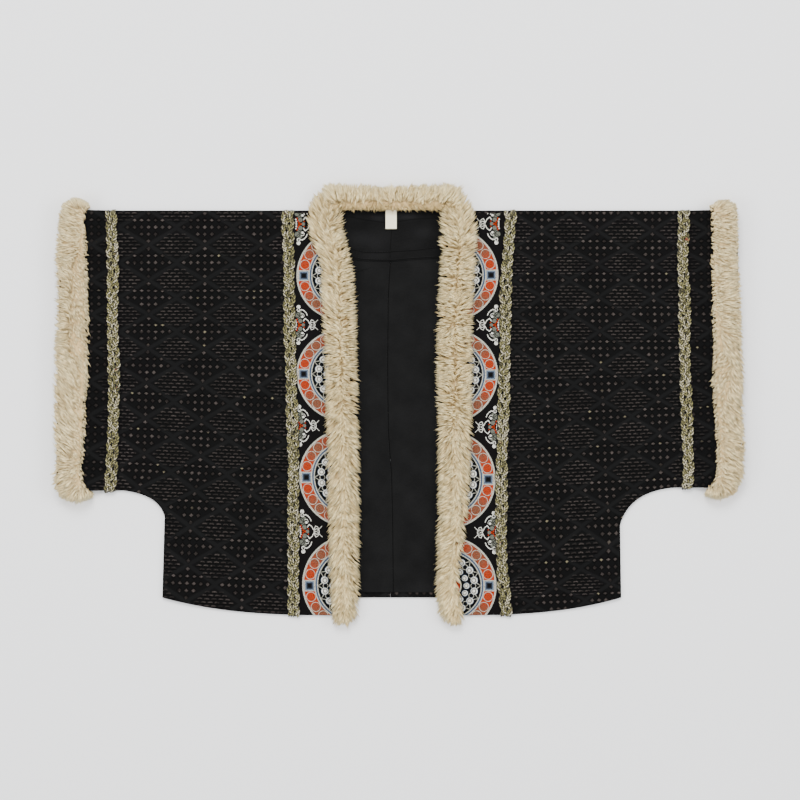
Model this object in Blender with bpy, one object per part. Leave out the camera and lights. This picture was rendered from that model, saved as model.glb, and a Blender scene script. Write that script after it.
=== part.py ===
"""Open-front jacket with fur edging, laid flat on its back: a standalone Blender script.

The jacket lies on the plane z = 0 with its neck towards +Y. The cloth of each half is one piece,
folded over the shoulder line, so that front and back are one wall. The origin is the centre of
the outline, on the plane that the jacket lies on.
"""

import math

import bmesh
import bpy
import numpy as np
from mathutils import Vector
from mathutils.bvhtree import BVHTree
from mathutils.geometry import delaunay_2d_cdt

MM = 0.001

# Lines that run across the whole jacket, in mm
SHOULDER_Y = 261.0
BACK_HEM_Y = -261.0
BACK_NECK_Y = 264.0
CENTRE_BACK_X = -11.5
SEAM_GAP = 0.3

# Thicknesses of the layers, in mm
CLOTH = 1.6
LINING = 1.0
FACING = 0.8
RIBBON = 0.8
LABEL = 1.2
BACK_TOP = CLOTH
LINING_LOW = BACK_TOP + SEAM_GAP
FACING_LOW = LINING_LOW + LINING + SEAM_GAP
FRONT_LOW = 3.6
HEM_TURN = 7.0
HEM_FOLD = 1.0

# Fold of the cloth at the shoulder line, and the rounding at the sewn edges
FOLD_DEPTH = 3.0
FOLD_STEPS = 4
SEAM_ROUND = 0.9
SEAM_INSET = 2.0

# Sleeve ends: the cloth lies flat up to the start of the rise, and the fur ring lifts it from there
CUFF_RISE = 36.0
BACK_LIFT = 7.8
FRONT_LIFT = 9.0
MOUTH_MARGIN = 4.0

# Fur
FUR_HEIGHT = 25.0
FUR_OVER_CLOTH = 14.0
RING_TOP = 13.0
RING_END = 16.0
TUFT = 1.1
NECK_JOIN = 1.3

# Plaited braid
BRAID_WIDTH = 18.0
BRAID_HEIGHT = 3.0
PLAIT_PERIOD = 36.0
PLAIT_STRANDS = 3

PANEL_GRID = 27.0
BACK_GRID = 46.0

# One row for each half. side is -1 at the left of the view from above and +1 at the right.
# The fur ring at each sleeve end leans towards the body by top_lean and low_lean at its two ends.
HALVES = [
    dict(name="left", side=-1, cuff_top=-438.8, cuff_low=-445.0, cuff_width=40.0, top_lean=4.5, low_lean=4.5,
         sleeve_low=-116.0, arm_start=(-372.0, -116.0), arm_bend=(-322.0, -122.0), arm_end=(-315.5, -152.0),
         hem_side=-318.6),
    dict(name="right", side=1, cuff_top=440.4, cuff_low=447.0, cuff_width=36.0, top_lean=1.0, low_lean=8.0,
         sleeve_low=-112.0, arm_start=(372.0, -112.0), arm_bend=(310.0, -117.0), arm_end=(297.5, -163.0),
         hem_side=299.0),
]

# Middle line and width of the fur down each front edge: y, left x, left width, right x, right width
FRONT_FUR = [
    (297.0, -87.0, 24.0, 66.5, 22.0),
    (288.0, -92.0, 36.0, 70.5, 31.0),
    (275.0, -96.0, 45.0, 74.5, 39.0),
    (262.0, -98.0, 46.5, 77.0, 46.5),
    (243.0, -100.0, 47.5, 79.5, 48.5),
    (228.0, -98.0, 48.5, 80.0, 49.0),
    (212.0, -91.5, 46.5, 80.0, 48.5),
    (190.0, -84.5, 44.5, 79.0, 47.0),
    (140.0, -81.5, 46.5, 76.5, 48.5),
    (60.0, -78.5, 45.0, 75.0, 46.0),
    (-50.0, -75.5, 44.0, 73.5, 44.0),
    (-157.0, -74.5, 43.0, 71.5, 41.0),
    (-265.0, -72.5, 38.0, 65.5, 36.0),
    (-297.0, -73.0, 33.0, 68.5, 32.0),
]

# Middle line of each braid: y, left front x, right front x, left sleeve x, right sleeve x
BRAID_LINES = [
    (262.0, -150.8, 149.2, -388.0, 384.8),
    (140.0, -148.6, 146.6, -386.4, 386.4),
    (40.0, -146.2, 143.4, -386.8, 389.2),
    (-35.0, -143.9, 140.5, -387.6, 390.3),
    (-90.0, -143.0, 140.2, -388.6, 389.6),
    (-118.0, -142.6, 140.2, -389.6, 385.4),
    (-197.0, -142.0, 141.2, -389.0, 386.5),
    (-289.0, -143.1, 143.5, -389.0, 386.5),
]

# Soft creases of the fronts, in mm: middle x and y, direction in degrees, half length, half width, height
CREASES = [
    (-300, -112, 38, 46, 11, 1.2), (-345, -60, 74, 40, 12, 0.9), (-262, -190, 80, 60, 15, 1.3),
    (-205, -150, 96, 70, 16, 1.2), (-240, 60, 20, 60, 18, 0.8), (-200, 200, 152, 55, 14, 0.9),
    (-330, 215, 12, 42, 12, 0.8), (286, -118, 140, 50, 12, 1.3), (338, -52, 108, 46, 13, 0.9),
    (250, -200, 96, 62, 15, 1.3), (196, -140, 84, 66, 16, 1.1), (232, 40, 164, 64, 18, 0.8),
    (210, 190, 28, 56, 14, 0.9), (330, 205, 170, 44, 12, 0.8),
]

COLOURS = {
    "cloth": (0.012, 0.011, 0.011, 0.85),
    "lining": (0.014, 0.014, 0.014, 0.9),
    "fur": (0.62, 0.52, 0.38, 0.95),
    "braid": (0.42, 0.38, 0.18, 0.45),
    "ribbon": (0.45, 0.10, 0.03, 0.6),
    "label": (0.80, 0.74, 0.58, 0.8),
}


# Small helpers

def smooth_step(u):
    u = min(1.0, max(0.0, u))
    return u * u * (3 - 2 * u)


def table_value(rows, column, y):
    """A smooth curve through one column of a table whose first column is y, read at y."""
    ys = [row[0] for row in rows][::-1]
    values = [row[column] for row in rows][::-1]
    y = min(ys[-1], max(ys[0], y))
    i = min(len(ys) - 2, max(0, int(np.searchsorted(ys, y)) - 1))
    slopes = np.gradient(values, ys)
    span = ys[i + 1] - ys[i]
    u = (y - ys[i]) / span
    return (values[i] * (1 + 2 * u) * (1 - u) ** 2 + values[i + 1] * u * u * (3 - 2 * u)
            + span * (slopes[i] * u * (1 - u) ** 2 - slopes[i + 1] * u * u * (1 - u)))


def spread(start, end, step):
    """Evenly spaced values from start to end, about one step apart, with both ends."""
    count = max(1, round(abs(end - start) / step))
    return [start + (end - start) * k / count for k in range(count + 1)]


def bend(start, middle, end, count):
    """Points of a quadratic curve after its start."""
    points = []
    for k in range(1, count + 1):
        u = k / count
        points.append(tuple((1 - u) ** 2 * a + 2 * u * (1 - u) * b + u * u * c
                            for a, b, c in zip(start, middle, end)))
    return points


def tuft(row, column):
    """An uneven but repeatable lift for the lumps of the fur, in mm."""
    return TUFT * (math.sin(2.39 * row + 1.7 * column) + 0.6 * math.sin(1.13 * row * (1 + 0.31 * column)))


def material(kind):
    found = bpy.data.materials.get(kind)
    if found:
        return found
    made = bpy.data.materials.new(kind)
    made.use_nodes = True
    shader = made.node_tree.nodes["Principled BSDF"]
    red, green, blue, rough = COLOURS[kind]
    shader.inputs["Base Color"].default_value = (red, green, blue, 1)
    shader.inputs["Roughness"].default_value = rough
    shader.inputs["Metallic"].default_value = 0.6 if kind == "braid" else 0.0
    return made


def solid(name, kind, points, faces):
    """An object from points in mm and faces of one closed surface, turned to face outwards."""
    mesh = bpy.data.meshes.new(name)
    mesh.from_pydata([Vector(p) * MM for p in points], [], faces)
    shape = bmesh.new()
    shape.from_mesh(mesh)
    bmesh.ops.triangulate(shape, faces=shape.faces)
    bmesh.ops.recalc_face_normals(shape, faces=shape.faces)
    shape.to_mesh(mesh)
    shape.free()
    if kind in ("fur", "braid"):
        mesh.polygons.foreach_set("use_smooth", [True] * len(mesh.polygons))
    made = bpy.data.objects.new(name, mesh)
    made.data.materials.append(material(kind))
    bpy.context.scene.collection.objects.link(made)
    return made


# Heights of the layers

def cuff_x(half, y):
    """Middle of the fur ring at a sleeve end."""
    share = (SHOULDER_Y - y) / (SHOULDER_Y - half["sleeve_low"])
    lean = half["top_lean"] * smooth_step((y - SHOULDER_Y + 35.0) / 50.0)
    lean += half["low_lean"] * smooth_step((half["sleeve_low"] + 25.0 - y) / 42.0)
    return half["cuff_top"] + (half["cuff_low"] - half["cuff_top"]) * share - half["side"] * lean


def cuff_rise(half, x, y):
    """0 on the flat of the sleeve, and 1 from where the fur ring begins."""
    ring_edge = abs(cuff_x(half, y)) - half["cuff_width"] / 2
    return smooth_step((abs(x) - ring_edge + CUFF_RISE) / CUFF_RISE)


def back_low(half, x, y):
    return BACK_LIFT * cuff_rise(half, x, y)


def crease_lift(x, y):
    lift = 0.0
    for mid_x, mid_y, turn, length, width, height in CREASES:
        c, s = math.cos(math.radians(turn)), math.sin(math.radians(turn))
        along = ((x - mid_x) * c + (y - mid_y) * s) / length
        across = ((y - mid_y) * c - (x - mid_x) * s) / width
        if abs(along) < 1 and abs(across) < 3:
            lift += height * (1 - along * along) ** 2 * math.exp(-across * across)
    return lift


def front_low(half, x, y):
    """Underside of the front layer: soft waves and creases, a drop past the back hem, a rise at the cuff."""
    wave = 0.2 * math.sin(x / 41.0 + y / 67.0) + 0.2 * math.sin(y / 53.0 - x / 90.0)
    drop = 2.2 * smooth_step((BACK_HEM_Y - 1.0 - y) / 22.0)
    return FRONT_LOW + wave + crease_lift(x, y) - drop + FRONT_LIFT * cuff_rise(half, x, y)


def front_edge_x(half, y):
    """Cut edge of the front, hidden in the fur."""
    column = 1 if half["side"] < 0 else 3
    middle, width = table_value(FRONT_FUR, column, y), table_value(FRONT_FUR, column + 1, y)
    return middle + half["side"] * (width / 2 - FUR_OVER_CLOTH)


def front_hem_y(half, x):
    """The front hem drops in a curve from the side seam to the front edge."""
    front = front_edge_x(half, BACK_HEM_Y)
    share = min(1.0, max(0.0, (half["hem_side"] - x) / (half["hem_side"] - front)))
    return BACK_HEM_Y - 24.0 * (1 - (1 - share) ** 2.8)


# Cloth halves: a flat net of triangles for each layer, joined over the shoulder and at the sewn edges

def inside(point, outline):
    x, y = point
    hit = False
    for (ax, ay), (bx, by) in zip(outline, outline[1:] + outline[:1]):
        if (ay > y) != (by > y) and x < ax + (bx - ax) * (y - ay) / (by - ay):
            hit = not hit
    return hit


def clear_of(point, outline, least):
    p = Vector(point)
    for a, b in zip(outline, outline[1:] + outline[:1]):
        a, b = Vector(a), Vector(b)
        u = min(1.0, max(0.0, (p - a).dot(b - a) / (b - a).length_squared))
        if (p - a - (b - a) * u).length < least:
            return False
    return True


def net(outline, grid, guides=(), keep_off=None):
    """Triangles that fill an outline. Its own points come first, then the guides, then a loose grid.

    Guides that follow each other in one row of the hem stay joined by an edge.
    """
    xs, ys = [p[0] for p in outline], [p[1] for p in outline]
    points = list(outline) + [p for p in guides if inside(p, outline) and clear_of(p, outline, 2.5)]
    kept = range(len(outline), len(points) - 1)
    joined = [(i, i + 1) for i in kept if points[i][1] == points[i + 1][1] and points[i][1] < BACK_HEM_Y + HEM_TURN]
    for row, y in enumerate(spread(min(ys), max(ys), grid * 0.87)):
        for x in spread(min(xs), max(xs), grid):
            p = (x + (grid / 2 if row % 2 else 0.0), y)
            if inside(p, outline) and clear_of(p, outline, grid * 0.42) and not (keep_off and keep_off(p)):
                points.append(p)
    ring = list(range(len(outline)))
    found = delaunay_2d_cdt([Vector(p) for p in points], joined, [ring], 1, 1e-4)
    order = {new: olds[0] for new, olds in enumerate(found[3]) if olds}
    triangles = [tuple(order[v] for v in face) for face in found[2]]
    return points, triangles


def inward(outline, i):
    """Unit vector into the cloth at one point of an outline that runs anticlockwise."""
    before, after = Vector(outline[i - 1]), Vector(outline[(i + 1) % len(outline)])
    along = (after - before).normalized()
    return Vector((-along.y, along.x))


def mouth_x(half, y):
    return cuff_x(half, y) + half["side"] * (half["cuff_width"] / 2 - MOUTH_MARGIN)


def rise_columns(half, y):
    """Places across a sleeve end that both layers share, so that they rise side by side."""
    start = cuff_x(half, y) - half["side"] * (half["cuff_width"] / 2 + CUFF_RISE)
    return [start + half["side"] * reach for reach in (-3, 10, 20, 30, 38, 56)]


def sewn_line(half):
    """The edge where front and back are sewn: along the sleeve, round the underarm and down the side."""
    columns = rise_columns(half, half["sleeve_low"])
    points = [(mouth_x(half, half["sleeve_low"]), half["sleeve_low"])]
    points += [(x, half["sleeve_low"]) for x in columns[::-1] + spread(columns[0], half["arm_start"][0], 14)[1:]]
    points += bend(half["arm_start"], half["arm_bend"], half["arm_end"], 7)
    low = (half["hem_side"], BACK_HEM_Y)
    for y in spread(half["arm_end"][1], low[1], 24)[1:]:
        share = (half["arm_end"][1] - y) / (half["arm_end"][1] - low[1])
        points.append((half["arm_end"][0] + (low[0] - half["arm_end"][0]) * share, y))
    return points


def body_half(half):
    side = half["side"]
    fold_y = SHOULDER_Y - FOLD_DEPTH
    neck_x = front_edge_x(half, fold_y)
    columns = rise_columns(half, fold_y)
    shoulder = [(x, fold_y) for x in spread(neck_x, columns[0], 24)[:-1] + columns + [mouth_x(half, fold_y)]]
    seam = sewn_line(half)
    sleeve_rows = spread(fold_y, half["sleeve_low"], 30)[1:-1]
    cuff = [(mouth_x(half, y), y) for y in sleeve_rows]
    hem_xs = spread(half["hem_side"], front_edge_x(half, BACK_HEM_Y - 25.0), 20)[1:]
    front_hem = [(x, front_hem_y(half, x)) for x in hem_xs]
    front_edge = [(front_edge_x(half, y), y) for y in spread(front_hem[-1][1], fold_y, 20)[1:-1]]
    centre = CENTRE_BACK_X + side * SEAM_GAP / 2
    back_hem = [(x, BACK_HEM_Y) for x in spread(half["hem_side"], centre, 36)[1:]]
    hem_rows = (BACK_HEM_Y + HEM_TURN - 1.2, BACK_HEM_Y + HEM_TURN - 0.6)
    back_centre = [(centre, y) for y in list(hem_rows) + spread(BACK_HEM_Y, BACK_NECK_Y, 60)[1:]]
    back_neck = [(centre + (neck_x - side * 8 - centre) * k / 3, BACK_NECK_Y) for k in (1, 2, 3)]
    shared = shoulder + cuff + seam
    front_outline = shared + front_hem + front_edge
    back_outline = shared + back_hem + back_centre + back_neck
    turn = side < 0

    sleeve_guides = [(x, y) for y in sleeve_rows for x in rise_columns(half, y)]
    hem_guides = [(x, y) for y in hem_rows for x in spread(half["hem_side"] - side * 5, centre + side * 4, 36)]

    def layer(outline, grid, guides):
        ring = outline if turn else outline[:1] + outline[:0:-1]
        in_guides = lambda p: (abs(p[0]) > abs(rise_columns(half, p[1])[0]) - 12
                               or (len(guides) > len(sleeve_guides) and p[1] < BACK_HEM_Y + 20))
        points, triangles = net(ring, grid, guides, in_guides)
        return ring, points, triangles

    front_ring, front_points, front_faces = layer(front_outline, PANEL_GRID, sleeve_guides)
    back_ring, back_points, back_faces = layer(back_outline, BACK_GRID, sleeve_guides + hem_guides)
    outer, inner, faces = [], [], []
    seam_keys = {p: k for k, p in enumerate(seam)}

    def add(point_out, point_in):
        outer.append(point_out)
        inner.append(point_in)
        return len(outer) - 1

    def place(ring, points, triangles, is_front):
        ids = []
        for i, (x, y) in enumerate(points):
            low = front_low(half, x, y) if is_front else back_low(half, x, y)
            if is_front:
                z_out, z_in = low + CLOTH, low
            else:
                turned_up = y < BACK_HEM_Y + HEM_TURN - 1.0 and abs(x) < abs(half["hem_side"]) - 12
                z_out, z_in = low, low + CLOTH + (HEM_FOLD if turned_up else 0.0)
            if i < len(ring) and (x, y) in seam_keys:
                n = inward(ring, i)
                flatten = 0.3 if is_front else 0.0
                ids.append(add((x + n.x * SEAM_ROUND, y + n.y * SEAM_ROUND, z_out - flatten),
                               (x + n.x * SEAM_INSET, y + n.y * SEAM_INSET, z_in - flatten)))
            else:
                ids.append(add((x, y, z_out), (x, y, z_in)))
        for face in triangles:
            faces.append(tuple(ids[v] for v in face))
        return {points[i]: ids[i] for i in range(len(ring))}, ids

    front_ids, _ = place(front_ring, front_points, front_faces, True)
    back_ids, _ = place(back_ring, back_points, back_faces, False)

    def strip(rows):
        for a, b in zip(rows, rows[1:]):
            for (a0, a1), (b0, b1) in zip(zip(a, a[1:]), zip(b, b[1:])):
                faces.append((a0, a1, b1, b0))

    rows = []
    for p in shoulder:
        top, low = front_ids[p], back_ids[p]
        row = [top]
        for k in range(1, FOLD_STEPS):
            turn_angle = math.pi * k / FOLD_STEPS
            c, s = math.cos(turn_angle), math.sin(turn_angle)
            shares = [((outer, FOLD_DEPTH)), ((inner, FOLD_DEPTH - CLOTH))]
            made = []
            for surface, depth in shares:
                high_z, low_z = surface[top][2], surface[low][2]
                made.append((p[0], p[1] + depth * s, (high_z + low_z) / 2 + (high_z - low_z) / 2 * c))
            row.append(add(*made))
        rows.append(row + [low])
    strip(rows)

    rows = []
    for p in seam:
        top, low = front_ids[p], back_ids[p]
        i = front_ring.index(p)
        n = inward(front_ring, i)
        made = []
        for surface, inset in ((outer, 0.0), (inner, SEAM_INSET + 0.4)):
            z = (surface[top][2] + surface[low][2]) / 2
            made.append((p[0] + n.x * inset, p[1] + n.y * inset, z))
        rows.append([top, add(*made), low])
    strip(rows)

    count = len(outer)
    edges = {}
    for face in faces:
        for a, b in zip(face, face[1:] + face[:1]):
            edges.setdefault(frozenset((a, b)), []).append((a, b))
    rim = [uses[0] for uses in edges.values() if len(uses) == 1]
    all_faces = list(faces)
    all_faces += [tuple(v + count for v in reversed(face)) for face in faces]
    all_faces += [(b, a, a + count, b + count) for a, b in rim]
    return solid(f"body_{half['name']}", "cloth", outer + inner, all_faces)


# Flat layers inside the back

def slab(name, kind, outline, grid, low_at, thick):
    """A thin wall over an outline that runs anticlockwise, with its underside at low_at(x, y)."""
    points, triangles = net(outline, grid)
    bottom = [(x, y, low_at(x, y)) for x, y in points]
    top = [(x, y, z + thick) for x, y, z in bottom]
    count, ring = len(points), len(outline)
    faces = list(triangles) + [tuple(v + count for v in reversed(face)) for face in triangles]
    faces += [(i, (i + 1) % ring, (i + 1) % ring + count, i + count) for i in range(ring)]
    return solid(name, kind, bottom + top, faces)


def anticlockwise(outline):
    area = sum(a[0] * b[1] - b[0] * a[1] for a, b in zip(outline, outline[1:] + outline[:1]))
    return outline if area > 0 else outline[::-1]


def lining_half(half):
    side = half["side"]
    centre = CENTRE_BACK_X + side * SEAM_GAP / 2
    edge = half["hem_side"] - side * 14.0 if side < 0 else half["arm_end"][0] - side * 12.0
    low, high = BACK_HEM_Y + HEM_TURN, SHOULDER_Y - FOLD_DEPTH - 2.0
    neck_x = front_edge_x(half, high) - side * 10.0
    outline = [(x, low) for x in spread(centre, edge, 40)]
    outline += [(edge, y) for y in spread(low, high, 60)[1:]]
    outline += [(x, high) for x in spread(edge, neck_x, 40)[1:]]
    outline += [(x, BACK_NECK_Y - 1.0) for x in spread(neck_x - side * 6.0, centre, 40)]
    outline += [(centre, y) for y in spread(BACK_NECK_Y - 1.0, low, 60)[1:-1]]
    return slab(f"lining_{half['name']}", "lining", anticlockwise(outline), 70, lambda x, y: LINING_LOW, LINING)


def fur_inner_x(side, y):
    column = 1 if side < 0 else 3
    return table_value(FRONT_FUR, column, y) - side * table_value(FRONT_FUR, column + 1, y) / 2


def neck_facing():
    """The band behind the neck, whose lower edge hangs in a shallow curve."""
    low_left, low_right, sag = 195.0, 199.0, 2.5
    tuck = 3.0
    outline = []
    for k in range(9):
        u = k / 8
        y = low_left + (low_right - low_left) * u - sag * 4 * u * (1 - u)
        left, right = fur_inner_x(-1, y) - tuck, fur_inner_x(1, y) + tuck
        outline.append((left + (right - left) * u, y))
    high = BACK_NECK_Y - 1.5
    for y in spread(low_right, high, 16)[1:]:
        outline.append((fur_inner_x(1, y) + tuck, y))
    for y in spread(high, low_left, 16)[:-1]:
        outline.append((fur_inner_x(-1, y) - tuck, y))
    return slab("facing_neck", "lining", anticlockwise(outline), 24, lambda x, y: FACING_LOW, FACING)


def neck_label():
    """A folded woven label sewn in at the back neck, left plain."""
    middle, width, top, bottom = -9.5, 15.0, BACK_NECK_Y - 2.0, 235.5
    outline = [(middle - width / 2, y) for y in spread(top, bottom, 7)]
    outline += [(middle + width / 2, y) for y in spread(bottom, top, 7)]
    low = FACING_LOW + FACING + SEAM_GAP
    curl = lambda x, y: low + 1.2 * smooth_step((top - 6.0 - y) / 20.0)
    return slab("label", "label", anticlockwise(outline), 7, curl, LABEL)


# Trims that lie on the fronts

def panel_top(panel):
    """A function that gives the highest point of a finished panel around a place, in mm."""
    tree = BVHTree.FromObject(panel, bpy.context.evaluated_depsgraph_get())

    def height(x, y, reach=5.0):
        found = []
        for dx, dy in ((0, 0), (reach, 0), (-reach, 0), (0, reach), (0, -reach)):
            hit = tree.ray_cast(Vector((x + dx, y + dy, 80)) * MM, Vector((0, 0, -1)))[0]
            if hit:
                found.append(hit.z / MM)
        return max(found) if found else 0.0

    return height


def front_ribbon(half, height):
    """The brocade band between the braid and the fur. It ends under the fur with the cut edge of the front."""
    side = half["side"]
    column = 1 if side < 0 else 2
    low = front_hem_y(half, front_edge_x(half, BACK_HEM_Y)) + 0.6
    rows = spread(low, SHOULDER_Y - 4.0, 22)
    bottom = []
    for y in rows:
        outside = table_value(BRAID_LINES, column, y) - side * (BRAID_WIDTH / 2 + 0.6)
        inside_x = front_edge_x(half, y) + side * 0.5
        for u in (0.0, 0.5, 1.0):
            x = outside + (inside_x - outside) * u
            bottom.append((x, y, height(x, y, 3.0) + SEAM_GAP))
    top = [(x, y, z + RIBBON) for x, y, z in bottom]
    count, wide = len(bottom), 3
    faces = []
    for r in range(len(rows) - 1):
        for c in range(wide - 1):
            a = r * wide + c
            quad = (a, a + 1, a + 1 + wide, a + wide)
            faces += [quad, tuple(v + count for v in reversed(quad))]
    ring = list(range(wide)) + [r * wide + wide - 1 for r in range(1, len(rows))]
    ring += [count - 1 - k for k in range(1, wide)] + [r * wide for r in range(len(rows) - 2, 0, -1)]
    for a, b in zip(ring, ring[1:] + ring[:1]):
        faces.append((a, b, b + count, a + count))
    return solid(f"ribbon_{half['name']}", "ribbon", bottom + top, faces)


def plait_height(across, along):
    """Top of a flat plait of three strands, from 0 to 1."""
    best = 0.0
    for k in range(PLAIT_STRANDS):
        turn = 2 * math.pi * (along / PLAIT_PERIOD + k / PLAIT_STRANDS)
        middle = 0.62 * math.sin(turn)
        off = (across - middle) / 0.48
        if abs(off) < 1:
            best = max(best, 0.30 + 0.25 * math.sin(2 * turn) + 0.45 * math.sqrt(1 - off * off))
    return best


def sweep(path, section):
    """Points and faces of a closed body: one ring of points for each place on the path, and flat ends."""
    points, faces = [], []
    for k, place in enumerate(path):
        ring = section(k, place)
        size = len(ring)
        if k:
            base = len(points)
            for i in range(size):
                j = (i + 1) % size
                faces.append((base - size + i, base - size + j, base + j, base + i))
        points += ring
    faces.append(tuple(range(size)))
    faces.append(tuple(range(len(points) - size, len(points))))
    return points, faces


def braid(name, column, end_y, height):
    """A plaited braid that turns over the shoulder fold and round the lower edge of the cloth."""
    line = lambda y: table_value(BRAID_LINES, column, y)
    clear = 0.35
    lift = lambda y: height(line(y), y, BRAID_WIDTH / 2) + clear
    shoulder_z = lift(SHOULDER_Y - FOLD_DEPTH - 1.0)
    path = [(SHOULDER_Y + 0.6, 0.6), (SHOULDER_Y + 0.9, shoulder_z * 0.5), (SHOULDER_Y + 0.1, shoulder_z * 0.9)]
    path += [(y, lift(y)) for y in spread(SHOULDER_Y - FOLD_DEPTH - 0.5, end_y + 2.0, 4.4)]
    last = path[-1][1]
    path += [(end_y - 0.9, last * 0.85), (end_y - 1.3, max(0.4, last * 0.45)), (end_y - 1.1, 0.3)]
    lengths = np.cumsum([0.0] + [math.dist(a, b) for a, b in zip(path, path[1:])])
    columns = (-1.0, -0.5, 0.0, 0.5, 1.0)

    def section(k, place):
        before, after = path[max(0, k - 1)], path[min(len(path) - 1, k + 1)]
        run = math.dist(before, after)
        out = ((after[1] - before[1]) / run, (before[0] - after[0]) / run)
        y, z = place
        x = line(y)
        ends = []
        for sign in (-1, 1):
            wave = math.sin(2 * math.pi * lengths[k] * PLAIT_STRANDS / PLAIT_PERIOD + (0 if sign < 0 else math.pi))
            ends.append(BRAID_WIDTH / 2 * (0.92 + 0.08 * wave))
        low = [(x - ends[0] * 0.85, y, z), (x + ends[1] * 0.85, y, z)]
        ring = [low[0]]
        for u in columns:
            reach = ends[0] if u < 0 else ends[1]
            rise = BRAID_HEIGHT * (0.35 + 0.65 * plait_height(u * 0.9, lengths[k]))
            if abs(u) == 1.0:
                rise = BRAID_HEIGHT * 0.45
            ring.append((x + u * reach, y + out[0] * rise, max(0.3, z + out[1] * rise)))
        return ring + [low[1]]

    return solid(name, "braid", *sweep(path, section))


# Fur

def front_fur(half):
    """A roll of fur along one front edge: deep past the cut edge, and lying over the cloth beside it."""
    side = half["side"]
    column = 1 if side < 0 else 3
    low, high = -297.0, 296.0
    path = [low, low + 2.0, low + 6.0] + spread(low + 13.0, BACK_HEM_Y - 7.0, 11.5)
    path += spread(BACK_HEM_Y - 0.5, BACK_NECK_Y + 0.5, 11.5) + spread(BACK_NECK_Y + 7.0, high - 13.0, 11.5)
    path += [high - 6.0, high - 2.0, high]

    def section(k, y):
        middle = table_value(FRONT_FUR, column, y)
        width = table_value(FRONT_FUR, column + 1, y)
        edge = front_edge_x(half, y)
        past_end = max(0.0, min(1.0, (y - low) / 15.0), 0.0)
        past_end = min(past_end, min(1.0, (high - y) / 15.0))
        round_off = 0.45 + 0.55 * math.sqrt(max(0.0, 1 - (1 - past_end) ** 2))
        base = 3.2 * smooth_step((y - BACK_HEM_Y + 6.5) / 6.0) * smooth_step((BACK_NECK_Y + 6.5 - y) / 6.0)
        under = front_low(half, edge, max(y, -284.0)) + CLOTH + RIBBON + 3 * SEAM_GAP + 0.25
        top = base + (FUR_HEIGHT - base) * round_off
        past_cloth = smooth_step((y - SHOULDER_Y - 1.5) / 6.0) + smooth_step((-287.0 - y) / 5.0)
        under = min(under + (0.6 - under) * past_cloth, top - 7.0)
        half_width = width / 2 * round_off
        tuck = min(1.0, half_width / 14.0)
        step = max(min((edge - middle) * side - 1.9, half_width - 3.4 * tuck), -half_width + 5.4 * tuck)
        # The side towards the neck fur is even, so that the two meet
        calm = 1 - smooth_step((y - 248.0) / 12.0)
        profile = [
            (step, base, 0), (-half_width + 5.0 * tuck, base, 0), (-half_width, base + 0.3 * (top - base), 1),
            (-half_width + 3.0 * tuck, base + 0.62 * (top - base), 1), (-0.56 * half_width, top - 2.0, 1),
            (0.0, top - 1.0, 1), (0.56 * half_width, top - 2.0, 1),
            (half_width - 3.0 * tuck, under + 0.55 * (top - under), 1),
            (half_width, under + 0.18 * (top - under), 1), (half_width - 2.0 * tuck, under, 0), (step, under, 0),
        ]
        ring = []
        for i, (a, z, lumpy) in enumerate(profile):
            lump = tuft(k, i) * round_off if lumpy else 0.0
            out = lump * (1 if a > 0 else -calm) * min(1.0, abs(a) / 12.0)
            ring.append((middle + side * (a + out), y, z + lump * 0.35 * (1 - abs(a) / half_width)))
        return ring

    return solid(f"fur_front_{half['name']}", "fur", *sweep(path, section))


def neck_fur():
    """The fur behind the neck, between the two front rolls. It rests on the ground past the neck edge."""
    y_low, y_high = 260.0, 296.5
    edge = BACK_NECK_Y + 0.5
    count = 11

    def section(k, share):
        dip = 2.2 * math.sin(share * math.pi)
        top = FUR_HEIGHT - 2.0
        under = FACING_LOW + FACING + SEAM_GAP + LABEL + 0.5
        middle, high = (y_low + y_high) / 2, y_high - dip
        profile = [
            (edge, 0.0, 0), (edge, under, 0), (y_low + 1.0, under, 0), (y_low, under + 4.0, 1),
            (y_low + 5.0, top - 4.5, 1), (middle - 5.0, top - 0.8, 1), (middle + 6.0, top - 1.2, 1),
            (high - 4.0, top - 7.0, 1), (high, 8.0, 1), (high - 4.0, 0.0, 0),
        ]
        ring = []
        for i, (y, z, lumpy) in enumerate(profile):
            lump = tuft(k + 3, i) * 0.8 if lumpy else 0.0
            start, end = fur_inner_x(-1, y) + NECK_JOIN, fur_inner_x(1, y) - NECK_JOIN
            ring.append((start + (end - start) * share, y + lump * (0.8 if y > middle else -0.8), z + lump * 0.3))
        return ring

    return solid("fur_neck", "fur", *sweep([k / count for k in range(count + 1)], section))


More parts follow.
